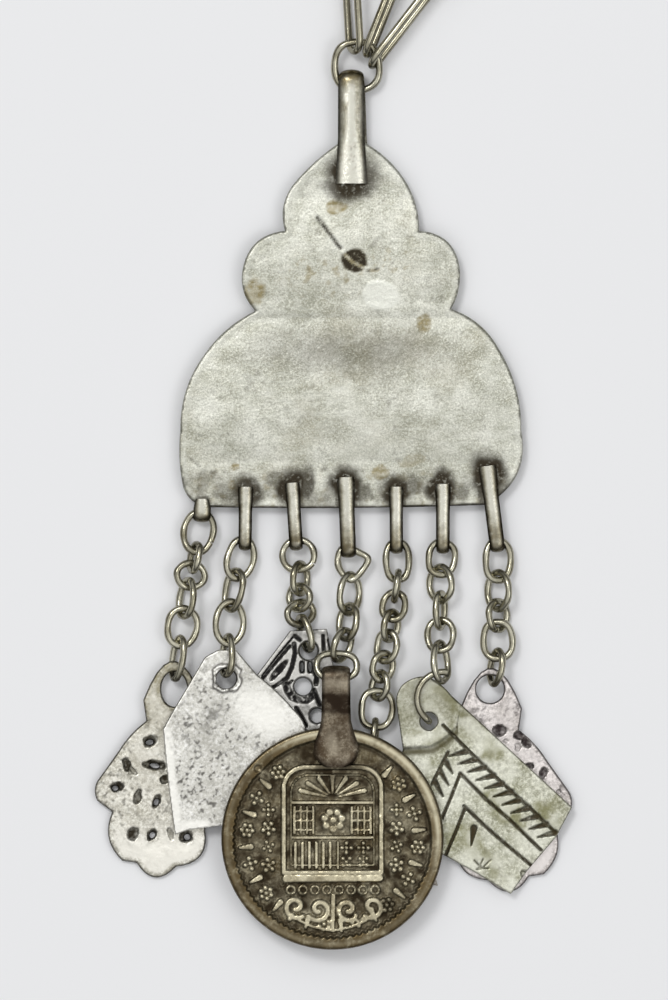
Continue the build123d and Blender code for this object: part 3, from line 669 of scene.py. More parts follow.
def plate_surface(x, y, depth):
    lift = dome(y, DOME_START, DOME_END, DOME_RISE) * (1 - 0.5 * fade(np.abs(x), 12, 21))
    lift = lift + dome(y, DOME_END, CROWN_END, CROWN_RISE)
    wave = 0.09 * noise(x, y, 9.0, 3, 2) + 0.06 * noise(x, y, 3.0, 4, 3)
    wave = wave + 0.012 * noise(x * 0.5, y, 0.7, 15, 2)
    brushed = noise(x * 0.35 + y * 0.1, y, 0.55, 12, 2)
    ridge = RIDGE_HEIGHT * (1 - fade(np.abs(y - 24.3 + 0.02 * x), 0.2, 1.6)) * (1 - fade(np.abs(x), 9, 15))
    crack = photo_line(x, y, CRACK, 0.32, 0.4)
    pit = photo_spot(x, y, (355, 260), (1.75, 1.5), 0, 0.25, 0.25, 5)
    pit_line = photo_line(x, y, PIT_LINE, 0.45)
    patch = photo_spot(x, y, (381, 295), (2.35, 1.9), -12, 0.12, 0.1, 6)
    scratch = most(photo_line(x, y, SCRATCH_HIGH, 0.2, 0.4), photo_line(x, y, SCRATCH_LEFT, 0.18, 0.4))
    stub = photo_spot(x, y, (203, 482), (0.85, 1.5), 0, 0.3)
    dents = CRACK_DEPTH * crack + PIT_DEPTH * (pit + scratch) - PATCH_HEIGHT * patch + STUB_DEPTH * stub
    top = PLATE_TOP + lift + wave + ridge - dents
    top = top - rounded(depth, PLATE_EDGE) + RIM_LIFT * (1 - fade(depth, 0.3, 1.2))
    under = PLATE_BOTTOM + lift + 0.6 * wave + rounded(depth, PLATE_UNDER_EDGE)
    arm = photo_line(x, y, PIT_ARM, 0.3)
    crackle = fade(noise(x, y, 0.5, 13, 2), -0.5, 0.1)
    tarnish_and_shade = (crack + 0.8 * arm) * crackle + 1.4 * pit * (1 - 0.9 * pit_line) + 0.5 * scratch + 0.45 * stub
    # A painted band of shade across the middle of the plate, where its dome turns away from the light.
    tarnish_and_shade = most(tarnish_and_shade, 0.46 * photo_spot(x, y, (352, 350), (14.5, 4.2), 0, 0.9, 0.2, 14))
    tarnish_and_shade = most(tarnish_and_shade, blots(x, y, FOOT_SHADE_HALOS, 0.5, 0.3, 0, 0.1))
    # A narrow band of painted shade along each loop's front leg, where it lies on the sheet.
    for leg_x, leg_y, fold_x, fold_y, top_width, mid_width, low_width in LOOPS:
        away = segment_distance(x, y, (leg_x, leg_y - top_width / 2), (fold_x, fold_y))[0] - top_width / 2
        away = away + 0.25 * noise(x, y, 0.8, 23, 2)
        tarnish_and_shade = most(tarnish_and_shade, 0.9 * (1 - fade(away, 0.1, 0.75)))
    edge = 0.2 * (1 - fade(depth, 0.0, 0.3))
    low_edge = 0.95 * (1 - fade(depth, 0.1, 0.5)) * (1 - fade(y, 0.4, 1.4))
    low = 1 - fade(y, 3.0, 7.5)
    # Patchy darkening low on the sheet, among the loops.
    low_dark_patches = fade(noise(x, y, 2.6, 16, 3), -0.35, 0.35) * (1 - fade(y, 1.5, 5.5))
    pores = fade(noise(x, y, 1.1, 8, 3), 0.38 - 0.25 * low, 0.75) * (0.4 + 0.5 * low)
    tarnish_and_shade = most(tarnish_and_shade, edge, low_edge, 0.58 * low_dark_patches, 0.7 * pores)
    tarnish_and_shade = np.where(patch > 0.5, 0.0, tarnish_and_shade)
    stain = 0.10 + 0.16 * fade(noise(x, y, 6.0, 9, 3), -0.1, 0.6)
    rust = fade(noise(x, y, 0.7, 17, 2), 0.1, 0.5)
    rust_left = 0.75 * photo_spot(x, y, (330, 275), (6.5, 3.2), 0, 0.8, 0.3, 18)
    rust_right = 0.6 * photo_spot(x, y, (395, 262), (4.0, 2.6), 0, 0.8, 0.3, 19)
    stain = most(stain, rust * most(rust_left, rust_right, 0.6 * (1 - fade(y, 2.5, 6.5))), 0.9 * pit)
    stain = most(stain, blots(x, y, PLATE_STAINS, 0.3, 0.3, 1, 0.1))
    stain = np.where(patch > 0.5, 0.0, stain)
    rubbed = fade(noise(x, y, 4.5, 10, 3), 0.1, 0.7) * fade(14 - np.abs(y - 10), 0, 6)
    polish_and_highlight = 1.2 * patch + 0.3 * fade(brushed, 0.0, 0.6) + 0.35 * rubbed
    # A painted highlight along the sheet's rounded rim.
    polish_and_highlight += 0.3 * (1 - fade(np.abs(depth - 0.6), 0.0, 0.5))
    # Less lighter colour in that painted band of shade.
    polish_and_highlight -= 0.3 * spot(x, y, (0.5, 18.5), (12, 3.2), 0, 0.8)
    return top, under, (tarnish_and_shade, stain, polish_and_highlight)


def make_plate():
    """The plate's sheet, its bail and its loops, all standing for the plate node."""
    outline = outline_points(PLATE_OUTLINE, PLATE_WIDTH, PLATE_HEIGHT, (0, 0), 12)
    pieces = [relief_sheet("plate_sheet", outline, [], PLATE_CELL, plate_surface, "plate_silver")]
    slot_height = PLATE_BOTTOM + PLATE_THICKNESS / 2
    foot = (BAIL_X, BAIL_FOOT)
    fold = (BAIL_X, BAIL_TOP)
    size = (PLATE_THICKNESS, slot_height, BAIL_THICKNESS, BAIL_WIDTHS, BACK_SHARE, STRAP_DOME)
    vertices, faces = strap(foot, fold, *size, 90, 21, BAIL_SKEW)
    x = vertices[:, 0]
    y = vertices[:, 1]
    depth = np.clip((y - BAIL_FOOT) / (BAIL_TOP - BAIL_FOOT), 0, 1)
    aside = np.abs(x - BAIL_X)
    rough = noise(x, y, 1.2, 21, 3)
    grit = fade(noise(x, y, 0.4, 22, 2), 0.1, 0.6)
    # Besides its own tarnish and stains, the bail is painted as a rounded strap: darker towards its sides as
    # painted shade, lighter along its middle and in a spot near the fold as painted highlights.
    flare = 0.35 + 1.25 * (1 - fade(depth, 0.0, 0.62))
    tarnish_and_shade = 0.1 * fade(rough, 0.2, 0.8) + 0.3 * fade(aside, flare, flare + 0.55)
    tarnish_and_shade += 0.45 * fade(aside, 1.25, 1.65) + 0.3 * fade(depth, 0.9, 0.99)
    tarnish_and_shade += 0.6 * grit * spot(x, y, (0.2, 43.5), (0.8, 3.2), 0, 0.8)
    stain = 0.2 + 0.85 * fade(depth, 0.8, 0.95) + 0.2 * fade(rough, 0, 0.5)
    polish_and_highlight = 1.1 * (1 - fade(aside, flare * 0.6, flare + 0.3)) * (1 - fade(depth, 0.8, 0.92))
    polish_and_highlight = most(polish_and_highlight, spot(x, y, (-0.5, 51.0), (0.5, 0.9), 0, 0.7))
    wear_and_light = np.stack([tarnish_and_shade, stain, polish_and_highlight], 1)
    pieces.append(finish_mesh("plate_bail", vertices, faces, "strip_silver", wear_and_light))
    for number, row in enumerate(LOOPS, start=1):
        leg_x, leg_y, fold_x, fold_y, top_width, mid_width, low_width = row
        leg = (leg_x, leg_y)
        fold = (fold_x, fold_y)
        rows = [(0, top_width * 0.92), (0.06, top_width), (0.4, mid_width), (0.85, mid_width), (1, low_width)]
        size = (PLATE_THICKNESS, slot_height, LOOP_THICKNESS, rows, BACK_SHARE, STRAP_DOME)
        vertices, faces = strap(leg, fold, *size, 44, 13)
        x = vertices[:, 0]
        y = vertices[:, 1]
        run = (leg_y - y) / (leg_y - fold_y)
        rough = noise(x, y, 0.9, 30 + number, 3)
        aside = np.abs(x - leg_x - (fold_x - leg_x) * run) / (mid_width / 2)
        # The loops are painted as rounded straps: darker at their sides and towards the fold as painted
        # shade, lighter along the middle as a painted highlight.
        edge = fade(aside, 0.45, 1.0)
        tarnish_and_shade = 0.08 + 0.3 * fade(rough, 0.0, 0.7) + 0.85 * edge + 0.4 * fade(run, 0.6, 1)
        painted_centre_highlight = (1 - fade(aside, 0.2, 0.65)) * (1 - 0.85 * fade(run, 0.4, 0.85))
        stain = 0.4 + 0.3 * rough + 0.45 * fade(run, 0.45, 1)
        wear_and_light = np.stack([tarnish_and_shade, stain, 0.95 * painted_centre_highlight], 1)
        pieces.append(finish_mesh(f"plate_loop_{number}", vertices, faces, "strip_silver", wear_and_light))
    return pieces


for piece in make_plate():
    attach(piece, "root")
    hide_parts("plate")

# Chains and the ring: each link follows the part's own, hand bent and sometimes with an open joint

SIDES_ON_REACH = 0.35
SIDES_ON_ROLL = 13
JOINT_GAP = 0.09
JOINT_OFFSET = 0.05
OPEN_WIRE_GAP = 60
END_STEPS = 13
LONG_LINK_SIDES = 12
FLAT_SHARE = 0.6
LINK_STEPS = 44
WELD_DECIMALS = 3
# Links with a form of their own, as pixels of the photograph round the wire's centre line
BENT_LINKS = {
    ("drop_chain_4", 0): [(345, 547), (338, 557), (340, 570), (351, 580), (361, 572), (368, 559), (358, 552)],
}
# Links whose joint stands open, and the angle of the joint in degrees
OPEN_LINKS = {
    ("drop_chain_1", 0): -40,
    ("drop_chain_1", 4): -75,
    ("drop_chain_2", 0): -95,
    ("drop_chain_3", 0): -30,
    ("drop_chain_5", 0): -80,
    ("drop_chain_6", 3): 215,
    ("drop_chain_7", 2): 250,
}


def loose_parts(node):
    """The separate links of a node, as vertices in the drawing frame and faces, from its top end down."""
    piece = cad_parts[node]
    place = np.array(piece.matrix_world)
    points = np.array([tuple(vertex.co) for vertex in piece.data.vertices])
    points = (points @ place[:3, :3].T + place[:3, 3]) / MM - [SHIFT_X, SHIFT_Y, 0]
    welded = np.unique(np.round(points, WELD_DECIMALS), axis=0, return_index=True, return_inverse=True)
    points = points[welded[1]]
    merged = welded[2].reshape(-1)
    edges = merged[np.array([tuple(edge.vertices) for edge in piece.data.edges])]
    label = np.arange(len(points))
    while True:
        lower = np.minimum(label[edges[:, 0]], label[edges[:, 1]])
        following = label.copy()
        np.minimum.at(following, edges[:, 0], lower)
        np.minimum.at(following, edges[:, 1], lower)
        following = following[following]
        if (following == label).all():
            break
        label = following
    own_faces = {int(mark): [] for mark in np.unique(label)}
    for face in piece.data.polygons:
        corners = [int(merged[vertex]) for vertex in face.vertices]
        own_faces[int(label[corners[0]])].append(corners)
    parts = []
    for mark, faces in own_faces.items():
        chosen = np.where(label == mark)[0]
        number = {int(vertex): index for index, vertex in enumerate(chosen)}
        parts.append((points[chosen], [[number[vertex] for vertex in face] for face in faces]))
    parts.sort(key=lambda part: -part[0][:, 1].mean())
    return parts


def smooth_loop(points, count):
    """A closed smooth curve through a few points."""
    points = np.asarray(points, float)
    total = len(points)
    result = []
    for step in range(count):
        run = total * step / count
        index = int(run)
        share = run - index
        first, second, third, fourth = (points[(index + offset) % total] for offset in (-1, 0, 1, 2))
        result.append(
            0.5
            * (
                2 * second
                + (third - first) * share
                + (2 * first - 5 * second + 4 * third - fourth) * share**2
                + (3 * second - first - 3 * third + fourth) * share**3
            )
        )
    return np.array(result)


def long_loop(half_long, half_wide):
    """Places round the middle of a link with straight sides, as (along, across) pairs."""
    straight = half_long - half_wide
    pairs = []
    for side in (1, -1):
        for angle in np.linspace(-pi / 2, pi / 2, END_STEPS):
            pairs.append((side * (straight + half_wide * cos(angle)), side * half_wide * sin(angle)))
        for share in (1 / 3, 2 / 3):
            pairs.append((side * straight * (1 - 2 * share), side * half_wide))
    return pairs


def hand_link(points, faces, seed, own_wire, wire, straight_sides, joint, bent):
    """A hand-bent link over one of the part's, or the part's own wire where it isn't a closed link."""
    middle = points.mean(0)
    axes = np.linalg.svd(points - middle, full_matrices=False)[2]
    local = (points - middle) @ axes.T
    centre = (local.max(0) + local.min(0)) / 2
    local = local - centre
    middle = middle + centre @ axes
    half_long, half_wide = local.max(0)[:2] - own_wire / 2
    long_way, wide_way = axes[0], axes[1]

    def finished(path, radii, closed, sides):
        """The wire along a path, kept above the surface and more worn towards the link's ends."""
        vertices, links = tube(path, radii, closed, sides)
        vertices[:, 2] = np.maximum(vertices[:, 2], 0.0)
        wear_and_light = 0.12 + 0.35 * np.abs(((vertices - middle) @ long_way) / (half_long + wire / 2)) ** 4
        return vertices, links, wear_and_light

    if straight_sides and local[:, 2].max() < own_wire * FLAT_SHARE:
        pairs = long_loop(half_long, half_wide)
        path = np.array([middle + long_way * along + wide_way * across for along, across in pairs])
        return finished(path, np.full(len(path), wire / 2), True, LONG_LINK_SIDES)
    angles = np.sort(np.degrees(np.arctan2(local[:, 1] / half_wide, local[:, 0] / half_long)))
    widest_gap = np.diff(np.append(angles, angles[0] + 360)).max()
    if widest_gap > OPEN_WIRE_GAP or half_wide < wire * 0.6:
        return points, faces, np.full(len(points), 0.25)
    normal = np.cross(long_way, wide_way)
    if np.hypot(*wide_way[:2]) < SIDES_ON_REACH and abs(long_way[2]) < 0.8:
        turn = radians(SIDES_ON_ROLL if sin(seed * 3) > 0 else -SIDES_ON_ROLL)
        wide_way = wide_way * cos(turn) + normal * sin(turn)
        normal = np.cross(long_way, wide_way)
    count = LINK_STEPS
    start = 0.0
    if joint is not None:
        aim = np.array([cos(radians(joint)), sin(radians(joint)), 0.0])
        start = atan2(aim @ wide_way / half_wide, aim @ long_way / half_long)
    path = []
    power = 2 / (2.12 + 0.18 * sin(seed * 2.1))
    for step in range(count):
        angle = start + 2 * pi * step / count
        across, along = sin(angle), cos(angle)
        across = abs(across) ** power * (1 if across > 0 else -1)
        along = abs(along) ** power * (1 if along > 0 else -1)
        shrink = 1 - 0.035 * (1 + sin(2 * angle + seed)) - 0.02 * (1 + sin(3 * angle + seed * 1.7))
        out = 0.04 * sin(angle * 2 + seed)
        flat = long_way * along * half_long + wide_way * across * half_wide * shrink
        path.append(middle + flat + normal * out)
    path = np.array(path)
    if bent is not None:
        flat = smooth_loop([from_photo(*pixel) for pixel in bent], count)
        slope = -normal[:2] / normal[2]
        level = middle[2] + (flat - middle[:2]) @ slope
        path = np.column_stack([flat, level])
    thick = wire / 2 * (1 + 0.05 * np.sin(np.arange(count) * 0.9 + seed))
    closed = True
    if joint is not None:
        apart = normal * JOINT_OFFSET
        path = np.concatenate([path, path[:1] - apart])
        step = np.linalg.norm(path[-2] - path[-1])
        path[-1] += (path[-2] - path[-1]) * JOINT_GAP / step
        path[0] = path[0] + apart
        thick = np.append(thick, thick[0])
        closed = False
    return finished(path, thick, closed, WIRE_SIDES)


def make_links(node, own_wire, wire, straight_sides):
    """All links of a node as one mesh."""
    vertices, faces, wear_and_light = [], [], []
    count = 0
    for number, (points, own_faces) in enumerate(loose_parts(node)):
        joint = OPEN_LINKS.get((node, number))
        bent = BENT_LINKS.get((node, number))
        seed = number * 1.7 + len(node) * 0.9 + ord(node[-1]) * 0.37
        got, ways, worn = hand_link(points, own_faces, seed, own_wire, wire, straight_sides, joint, bent)
        vertices.append(got)
        faces += [[index + count for index in face] for face in ways]
        wear_and_light.append(worn)
        count += len(got)
    vertices = np.concatenate(vertices)
    tarnish_and_shade = np.concatenate(wear_and_light) + 0.3 * noise(vertices[:, 0], vertices[:, 1], 2.5, 51, 3)
    stain = 0.35 + 0.5 * noise(vertices[:, 0], vertices[:, 1], 4.0, 52, 2)
    polish_and_highlight = 0.35 + 0.6 * noise(vertices[:, 0], vertices[:, 1], 1.6, 53, 2)
    masks = np.clip(np.stack([tarnish_and_shade, stain, polish_and_highlight], 1), 0, 1)
    return finish_mesh(f"{node}_links", vertices, faces, "chain_silver", masks)


# The part's wire, the thickness it looks here, and whether the links have straight sides
WIRES = {
    "drop_chain": (0.72, 0.88, False),
    "neck_chain": (0.9, 0.94, True),
    "pendant_ring": (0.9, 0.92, False),
}
for node in list(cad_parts):
    for start, (own_wire, wire, straight_sides) in WIRES.items():
        if node.startswith(start):
            piece = make_links(node, own_wire, wire, straight_sides)
            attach(piece, "root")
            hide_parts(node)

# Charms


def lying(hole, reach, hole_height, tip_height):
    """The underside's height of a flat charm that leans from its hole down to its far end."""
    length = sqrt(reach[0] ** 2 + reach[1] ** 2)
    slope = (hole_height - tip_height) / length

    def height(x, y):
        run = ((x - hole[0]) * reach[0] + (y - hole[1]) * reach[1]) / length
        return hole_height - slope * run

    return height


def photo_oval(pixel_x, pixel_y, radius_x, radius_y, turn=0.0, count=16, wobble=0.12):
    """An uneven oval hole about one of the photograph's pixels, radii in millimetres."""
    return oval_points(from_photo(pixel_x, pixel_y), (radius_x, radius_y), turn, count, wobble, pixel_x * 0.1)


KHAMSA_OUTLINE = [
    (-0.143, -0.051, 0.0),
    (-0.129, -0.147, 0.009),
    (-0.253, -0.281, 0.0),
    (-0.355, -0.424, 0.012),
    (-0.355, -0.516, 0.0),
    (-0.286, -0.567, 0.041),
    (-0.240, -0.793, 0.0),
    (-0.175, -0.802, 0.060),
    (0.009, -0.820, 0.058),
    (0.143, -0.650, 0.0),
    (0.152, -0.576, 0.0),
    (0.258, -0.521, 0.014),
    (0.272, -0.415, 0.0),
    (0.184, -0.276, 0.009),
    (0.120, -0.152, 0.0),
    (0.134, -0.051, 0.182),
]
KHAMSA_THICKNESS = 0.9
HAND_CELL = 0.13
HAND_DOME = 0.07
HAND_EDGE = 0.28
# Height of the burr round a punched pit
PIT_RIM = 0.05
# How far a cast or sheet face stays below its full thickness, so that its waves stay inside it
WAVE_ROOM = 0.06
CAST_UNDER_EDGE = 0.2
LEFT_LENGTH = 27.1
LEFT_HOLE = (-22.05, -22.9)
LEFT_BORE = (1.62, 2.2)
RIGHT_LENGTH = 28.0
RIGHT_TAB = (17.45, -23.9)
RIGHT_HOLE_RISE = 1.0
RIGHT_BORE = 1.75
# Where a hand's far end lies from its hole, as shares of its length
HAND_LEAN = 0.08
HAND_REACH = 0.87
# Holes pierced through the left hand. Columns: centre in the photograph, radii in millimetres, turn.
LEFT_HOLES = [
    (149.5, 742.5, 0.5, 0.3, 15),
    (154.5, 766, 0.62, 0.28, -8),
    (115, 788.5, 0.36, 0.3, 0),
    (156, 802.5, 0.3, 0.42, -25),
    (152, 835.5, 0.32, 0.4, -30),
    (187, 837.5, 0.4, 0.36, 0),
]
# The dark sunk rims of those holes and the pits beside them, in the same columns and their depth
LEFT_PITS = [
    (150, 741, 0.95, 0.7, 30, 0.3),
    (154.5, 765, 1.5, 0.6, -4, 0.35),
    (117, 787, 0.85, 0.6, 12, 0.3),
    (156.5, 801, 0.5, 0.9, -20, 0.3),
    (151.5, 835, 0.55, 0.85, -30, 0.3),
    (186, 837, 0.85, 0.85, 0, 0.3),
    (126.5, 765, 0.5, 0.95, 10, 0.3),
    (133, 771, 0.65, 0.28, -45, 0.2),
    (137.5, 797, 0.48, 1.0, -15, 0.3),
    (165.5, 779.5, 0.75, 0.5, 10, 0.3),
    (132.5, 834, 0.8, 0.95, 0, 0.28),
    (170, 834, 0.4, 0.9, 15, 0.12),
]
RIGHT_PITS = [
    (499.5, 731, 0.9, 0.75, 20, 0.3),
    (520, 735, 0.85, 0.6, 10, 0.3),
    (526, 742, 0.85, 0.5, -55, 0.28),
    (518, 747, 0.45, 0.6, 0, 0.15),
    (530, 766, 0.6, 0.45, 10, 0.28),
    (543.5, 773, 0.5, 0.75, -30, 0.28),
    (558.5, 792, 0.35, 0.35, 0, 0.12),
    (506, 741, 0.4, 0.3, 0, 0.1),
]


SHALLOW_PIT = 0.2


def hand_surface(plane, pits, seed, warm):
    """A cast hand: a slightly domed worn face with dark punched pits."""

    def surface(x, y, depth):
        base = plane(x, y)
        swell = HAND_DOME * fade(depth, 0.0, 3.0) + 0.04 * noise(x, y, 3.0, seed, 3)
        swell = swell + 0.02 * noise(x, y, 0.7, seed + 1, 2)
        sunk = np.zeros_like(x)
        dark = np.zeros_like(x)
        patchy = 0.97 + 0.4 * noise(x, y, 0.45, seed + 6, 2)
        for pixel_x, pixel_y, radius_x, radius_y, turn, drop in pits:
            centre = from_photo(pixel_x, pixel_y)
            pit = spot(x, y, centre, (radius_x, radius_y), turn, 0.35, 0.3, pixel_x * 0.13)
            rim = spot(x, y, centre, (radius_x * 1.5, radius_y * 1.5), turn, 0.6)
            sunk = most(sunk, pit * drop)
            swell = swell + PIT_RIM * rim * (1 - pit)
            dark = most(dark, pit * patchy * (1.0 if drop > SHALLOW_PIT else 0.45))
        top = base + KHAMSA_THICKNESS - WAVE_ROOM + swell - sunk - rounded(depth, HAND_EDGE)
        under = base + rounded(depth, CAST_UNDER_EDGE)
        grit = fade(noise(x, y, 0.4, seed + 2, 2), 0.1, 0.55)
        upper = fade(y, -44.5, -38.5)
        speckled = 0.12 + 0.5 * upper * fade(noise(x, y, 2.5, seed + 3, 2), -0.6, 0.3)
        tarnish_and_shade = most(dark, grit * speckled, 0.95 * (1 - fade(depth, 0.02, 0.3)))
        stain = warm(x, y) + 0.15 * fade(noise(x, y, 2.5, seed + 4, 3), 0, 0.6)
        polish_and_highlight = 0.16 + 0.35 * fade(noise(x, y, 5.0, seed + 5, 2), -0.2, 0.5) + 0.9 * (1 - upper)
        polish_and_highlight = polish_and_highlight * fade(depth, 0.3, 0.9) * (1 - dark)
        return top, under, (tarnish_and_shade, stain, polish_and_highlight)

    return surface


def make_left_hand():
    outline = outline_points(KHAMSA_OUTLINE, LEFT_LENGTH, LEFT_LENGTH, LEFT_HOLE, 9)
    holes = [oval_points(LEFT_HOLE, LEFT_BORE, 0, 28)]
    holes += [photo_oval(*row) for row in LEFT_HOLES]
    plane = lying(LEFT_HOLE, (-HAND_LEAN * LEFT_LENGTH, -HAND_REACH * LEFT_LENGTH), TAB_HEIGHT, TIP_HEIGHT)

    def warm(x, y):
        return 0.2 * fade(y, -44, -36) + 0.55 * fade(y, -31, -24)

    surface = hand_surface(plane, LEFT_PITS, 40, warm)
    return relief_sheet("khamsa_left_cast", outline, holes, HAND_CELL, surface, "khamsa_silver")


def make_right_hand():
    turned = KHAMSA_OUTLINE[::-1]
    rows = [(-row[0], row[1], next_row[2]) for row, next_row in zip(turned, turned[1:] + turned[:1])]
    outline = outline_points(rows, RIGHT_LENGTH, RIGHT_LENGTH, RIGHT_TAB, 9)
    hole = oval_points((RIGHT_TAB[0], RIGHT_TAB[1] + RIGHT_HOLE_RISE), (RIGHT_BORE, RIGHT_BORE), 0, 28)
    plane = lying(RIGHT_TAB, (HAND_LEAN * RIGHT_LENGTH, -HAND_REACH * RIGHT_LENGTH), TAB_HEIGHT, TIP_HEIGHT)
    surface = hand_surface(plane, RIGHT_PITS, 60, lambda x, y: np.full_like(x, 0.05))
    return relief_sheet("khamsa_right_cast", outline, [hole], HAND_CELL, surface, "khamsa_silver_pink")


KITE_OUTLINE = [
    (-0.114, 0.119, 0.0),
    (-0.297, -0.189, 0.0),
    (-0.341, -0.270, 0.005),
    (-0.276, -0.843, 0.0),
    (-0.200, -0.816, 0.0),
    (-0.027, -0.795, 0.0),
    (0.395, -0.773, 0.0),
    (0.443, -0.357, 0.0),
    (0.432, -0.265, 0.008),
    (0.368, -0.168, 0.008),
    (0.168, 0.022, 0.0),
    (0.054, 0.157, 0.0),
    (-0.043, 0.157, 0.0),
]
KITE_LENGTH = 23.1
KITE_HOLE = (-15.55, -21.6)
KITE_HEIGHT = 2.05
KITE_THICKNESS = 0.7
KITE_BORE = 1.25
KITE_CELL = 0.115
KITE_EDGE = 0.16
KITE_ROOM = 0.03
SHEET_UNDER_EDGE = 0.12
# The torn collar round the kite's hole
BURR_RADIUS = 1.62
BURR_WIDTH = 0.16
BURR_HEIGHT = 0.14


def kite_surface(x, y, depth):
    u = x - KITE_HOLE[0] - 0.1
    v = y - KITE_HOLE[1] - 0.1
    bearing = np.arctan2(v, u)
    burr_at = np.hypot(u, v)
    collar = BURR_RADIUS + 0.13 * np.cos(4 * bearing + 3.0) + 0.2 * noise(x, y, 0.55, 71, 2)
    burr = bell(burr_at - collar, BURR_WIDTH)
    wave = 0.05 * noise(x, y, 5.0, 72, 2) + 0.015 * noise(x, y, 0.5, 73, 2)
    top = KITE_HEIGHT + KITE_THICKNESS - KITE_ROOM + wave - rounded(depth, KITE_EDGE) + BURR_HEIGHT * burr
    under = KITE_HEIGHT + rounded(depth, SHEET_UNDER_EDGE)
    # Painted highlights: a bright band along the lower left edge and a bright patch, with fewer dark flecks
    # there.
    bright_band = (1 - fade(depth, 0.7, 1.4)) * (1 - fade(x, -18.5, -16.5)) * (1 - fade(y, -28.5, -27))
    highlight_patch = most(bright_band, photo_spot(x, y, (262, 712), (5.0, 3.2), -42, 0.7))
    patches = fade(noise(x, y, 2.2, 75, 2), -0.6, 0.4)
    flecks = fade(noise(x, y, 0.38, 74, 2), 0.12, 0.5) * (0.25 + 0.6 * patches) * (1 - 0.8 * highlight_patch)
    smudge = photo_spot(x, y, (212, 716), (2.3, 1.6), 65, 0.9, 0.5, 7)
    smudge = smudge * fade(noise(x, y, 0.5, 77, 2), -0.5, 0.3)
    outer = bell(burr_at - collar - 0.27, BURR_WIDTH)
    bore = 0.95 * (1 - fade(burr_at, 1.3, 1.5))
    rim = 0.6 * (1 - fade(depth, 0, 0.15))
    scuff = 0.35 * photo_line(x, y, [(168, 738), (172, 748)], 0.3, 0.8)
    tarnish_and_shade = most(flecks, 0.62 * smudge, 0.95 * outer, bore, rim, scuff)
    stain = 0.15 + 0.25 * patches
    # The burr's crest gets a painted highlight too.
    polish_and_highlight = 0.15 + 0.85 * highlight_patch + 0.8 * burr * (1 - outer)
    return top, under, (tarnish_and_shade, stain, polish_and_highlight)


def make_kite():
    outline = outline_points(KITE_OUTLINE, KITE_LENGTH, KITE_LENGTH, KITE_HOLE, 6)
    hole = oval_points(KITE_HOLE, (KITE_BORE, KITE_BORE), 0, 26, 0.05, 3)
    return relief_sheet("kite_sheet", outline, [hole], KITE_CELL, kite_surface, "kite_silver")


ORNATE_OUTLINE = [
    (-0.165, 0.179, 0.0),
    (-0.781, -0.643, 0.0),
    (0.344, -0.812, 0.0),
    (0.165, 0.196, 0.0),
]
ORNATE_SIZE = 14.0
ORNATE_HOLE = (-5.25, -18.1)
ORNATE_THICKNESS = 1.1
ORNATE_CELL = 0.1
ORNATE_EDGE = 0.2
GROOVE_DEPTH = 0.3
# Grooves of the cast triangle, as a few pixels of the photograph each, and their width in millimetres
ORNATE_GROOVES = [
    ([(293, 637), (278, 655), (262, 676)], 0.2),
    ([(290, 646), (277, 661), (263, 678), (250, 694)], 0.36),
    ([(294, 644), (295, 653), (292, 667), (287, 678), (283, 681)], 0.5),
    ([(283, 681), (272, 688), (262, 697)], 0.4),
    ([(292, 681), (288, 684)], 0.3),
    ([(323, 636), (324, 655)], 0.4),
    ([(313, 668), (317, 676), (316, 684)], 0.55),
    ([(314, 690), (317, 698), (320, 705)], 0.5),
    ([(296, 708), (301, 716), (306, 726)], 0.45),
    ([(270, 700), (285, 716), (298, 728)], 0.4),
    ([(295, 636), (300, 640)], 0.45),
    ([(328, 640), (330, 652)], 0.2),
]
CRESCENT = [(286, 685), (288, 691), (292, 697), (299, 700), (307, 700), (312, 696)]
# Its round holes. Columns: place from the first hole as shares of the triangle's size, radius.
ORNATE_HOLES = ((0.0, 0.0, 1.12), (-0.049, -0.321, 1.08), (0.076, -0.580, 0.9))
ORNATE_SLOTS = (302, 310)


def ornate_surface(x, y, depth):
    reach = (-0.283 * ORNATE_SIZE, -0.816 * ORNATE_SIZE)
    base = lying(ORNATE_HOLE, reach, TAB_HEIGHT, TIP_HEIGHT)(x, y)
    groove = np.zeros_like(x)
    for pixels, width in ORNATE_GROOVES:
        groove = most(groove, photo_line(x, y, pixels, width, 0.35))
    beads = fade(noise(x, y, 0.34, 81, 1), 0.15, 0.5)
    leaf = photo_spot(x, y, (278.5, 670.5), (1.8, 0.42), 49, 0.2)
    crescent = photo_line(x, y, CRESCENT, 0.85, 0.25)
    groove = most(groove, (1 - 0.5 * beads) * most(leaf, crescent))
    for across, up, radius in ORNATE_HOLES:
        around = np.hypot(x - ORNATE_HOLE[0] - across * ORNATE_SIZE, y - ORNATE_HOLE[1] - up * ORNATE_SIZE)
        groove = most(groove, 0.8 * (1 - fade(around, radius + 0.05, radius + 0.25)))
    for pixel_x in ORNATE_SLOTS:
        groove = most(groove, 0.9 * photo_line(x, y, [(pixel_x, 663), (pixel_x, 671)], 0.62, 0.2))
    grain = noise(x, y, 0.4, 82, 2)
    top = base + ORNATE_THICKNESS - WAVE_ROOM + 0.02 * grain
    top = top - GROOVE_DEPTH * groove - rounded(depth, ORNATE_EDGE)
    under = base + rounded(depth, CAST_UNDER_EDGE)
    field = photo_spot(x, y, (304, 710), (1.2, 0.9), 0, 0.6)
    # Painted shade along the top, under the chain's links.
    shade_at_top = 0.65 * fade(y, -16.9, -16.0) * fade(noise(x, y, 0.6, 83, 2), -0.6, 0.1)
    rim = 0.9 * (1 - fade(depth, 0.0, 0.18))
    tarnish_and_shade = most(groove, shade_at_top, 0.35 * field + 0.25 * fade(grain, 0.1, 0.6), rim)
    polish_and_highlight = 0.75 * (1 - groove) * (1 - field)
    return top, under, (tarnish_and_shade, np.full_like(x, 0.15), polish_and_highlight)


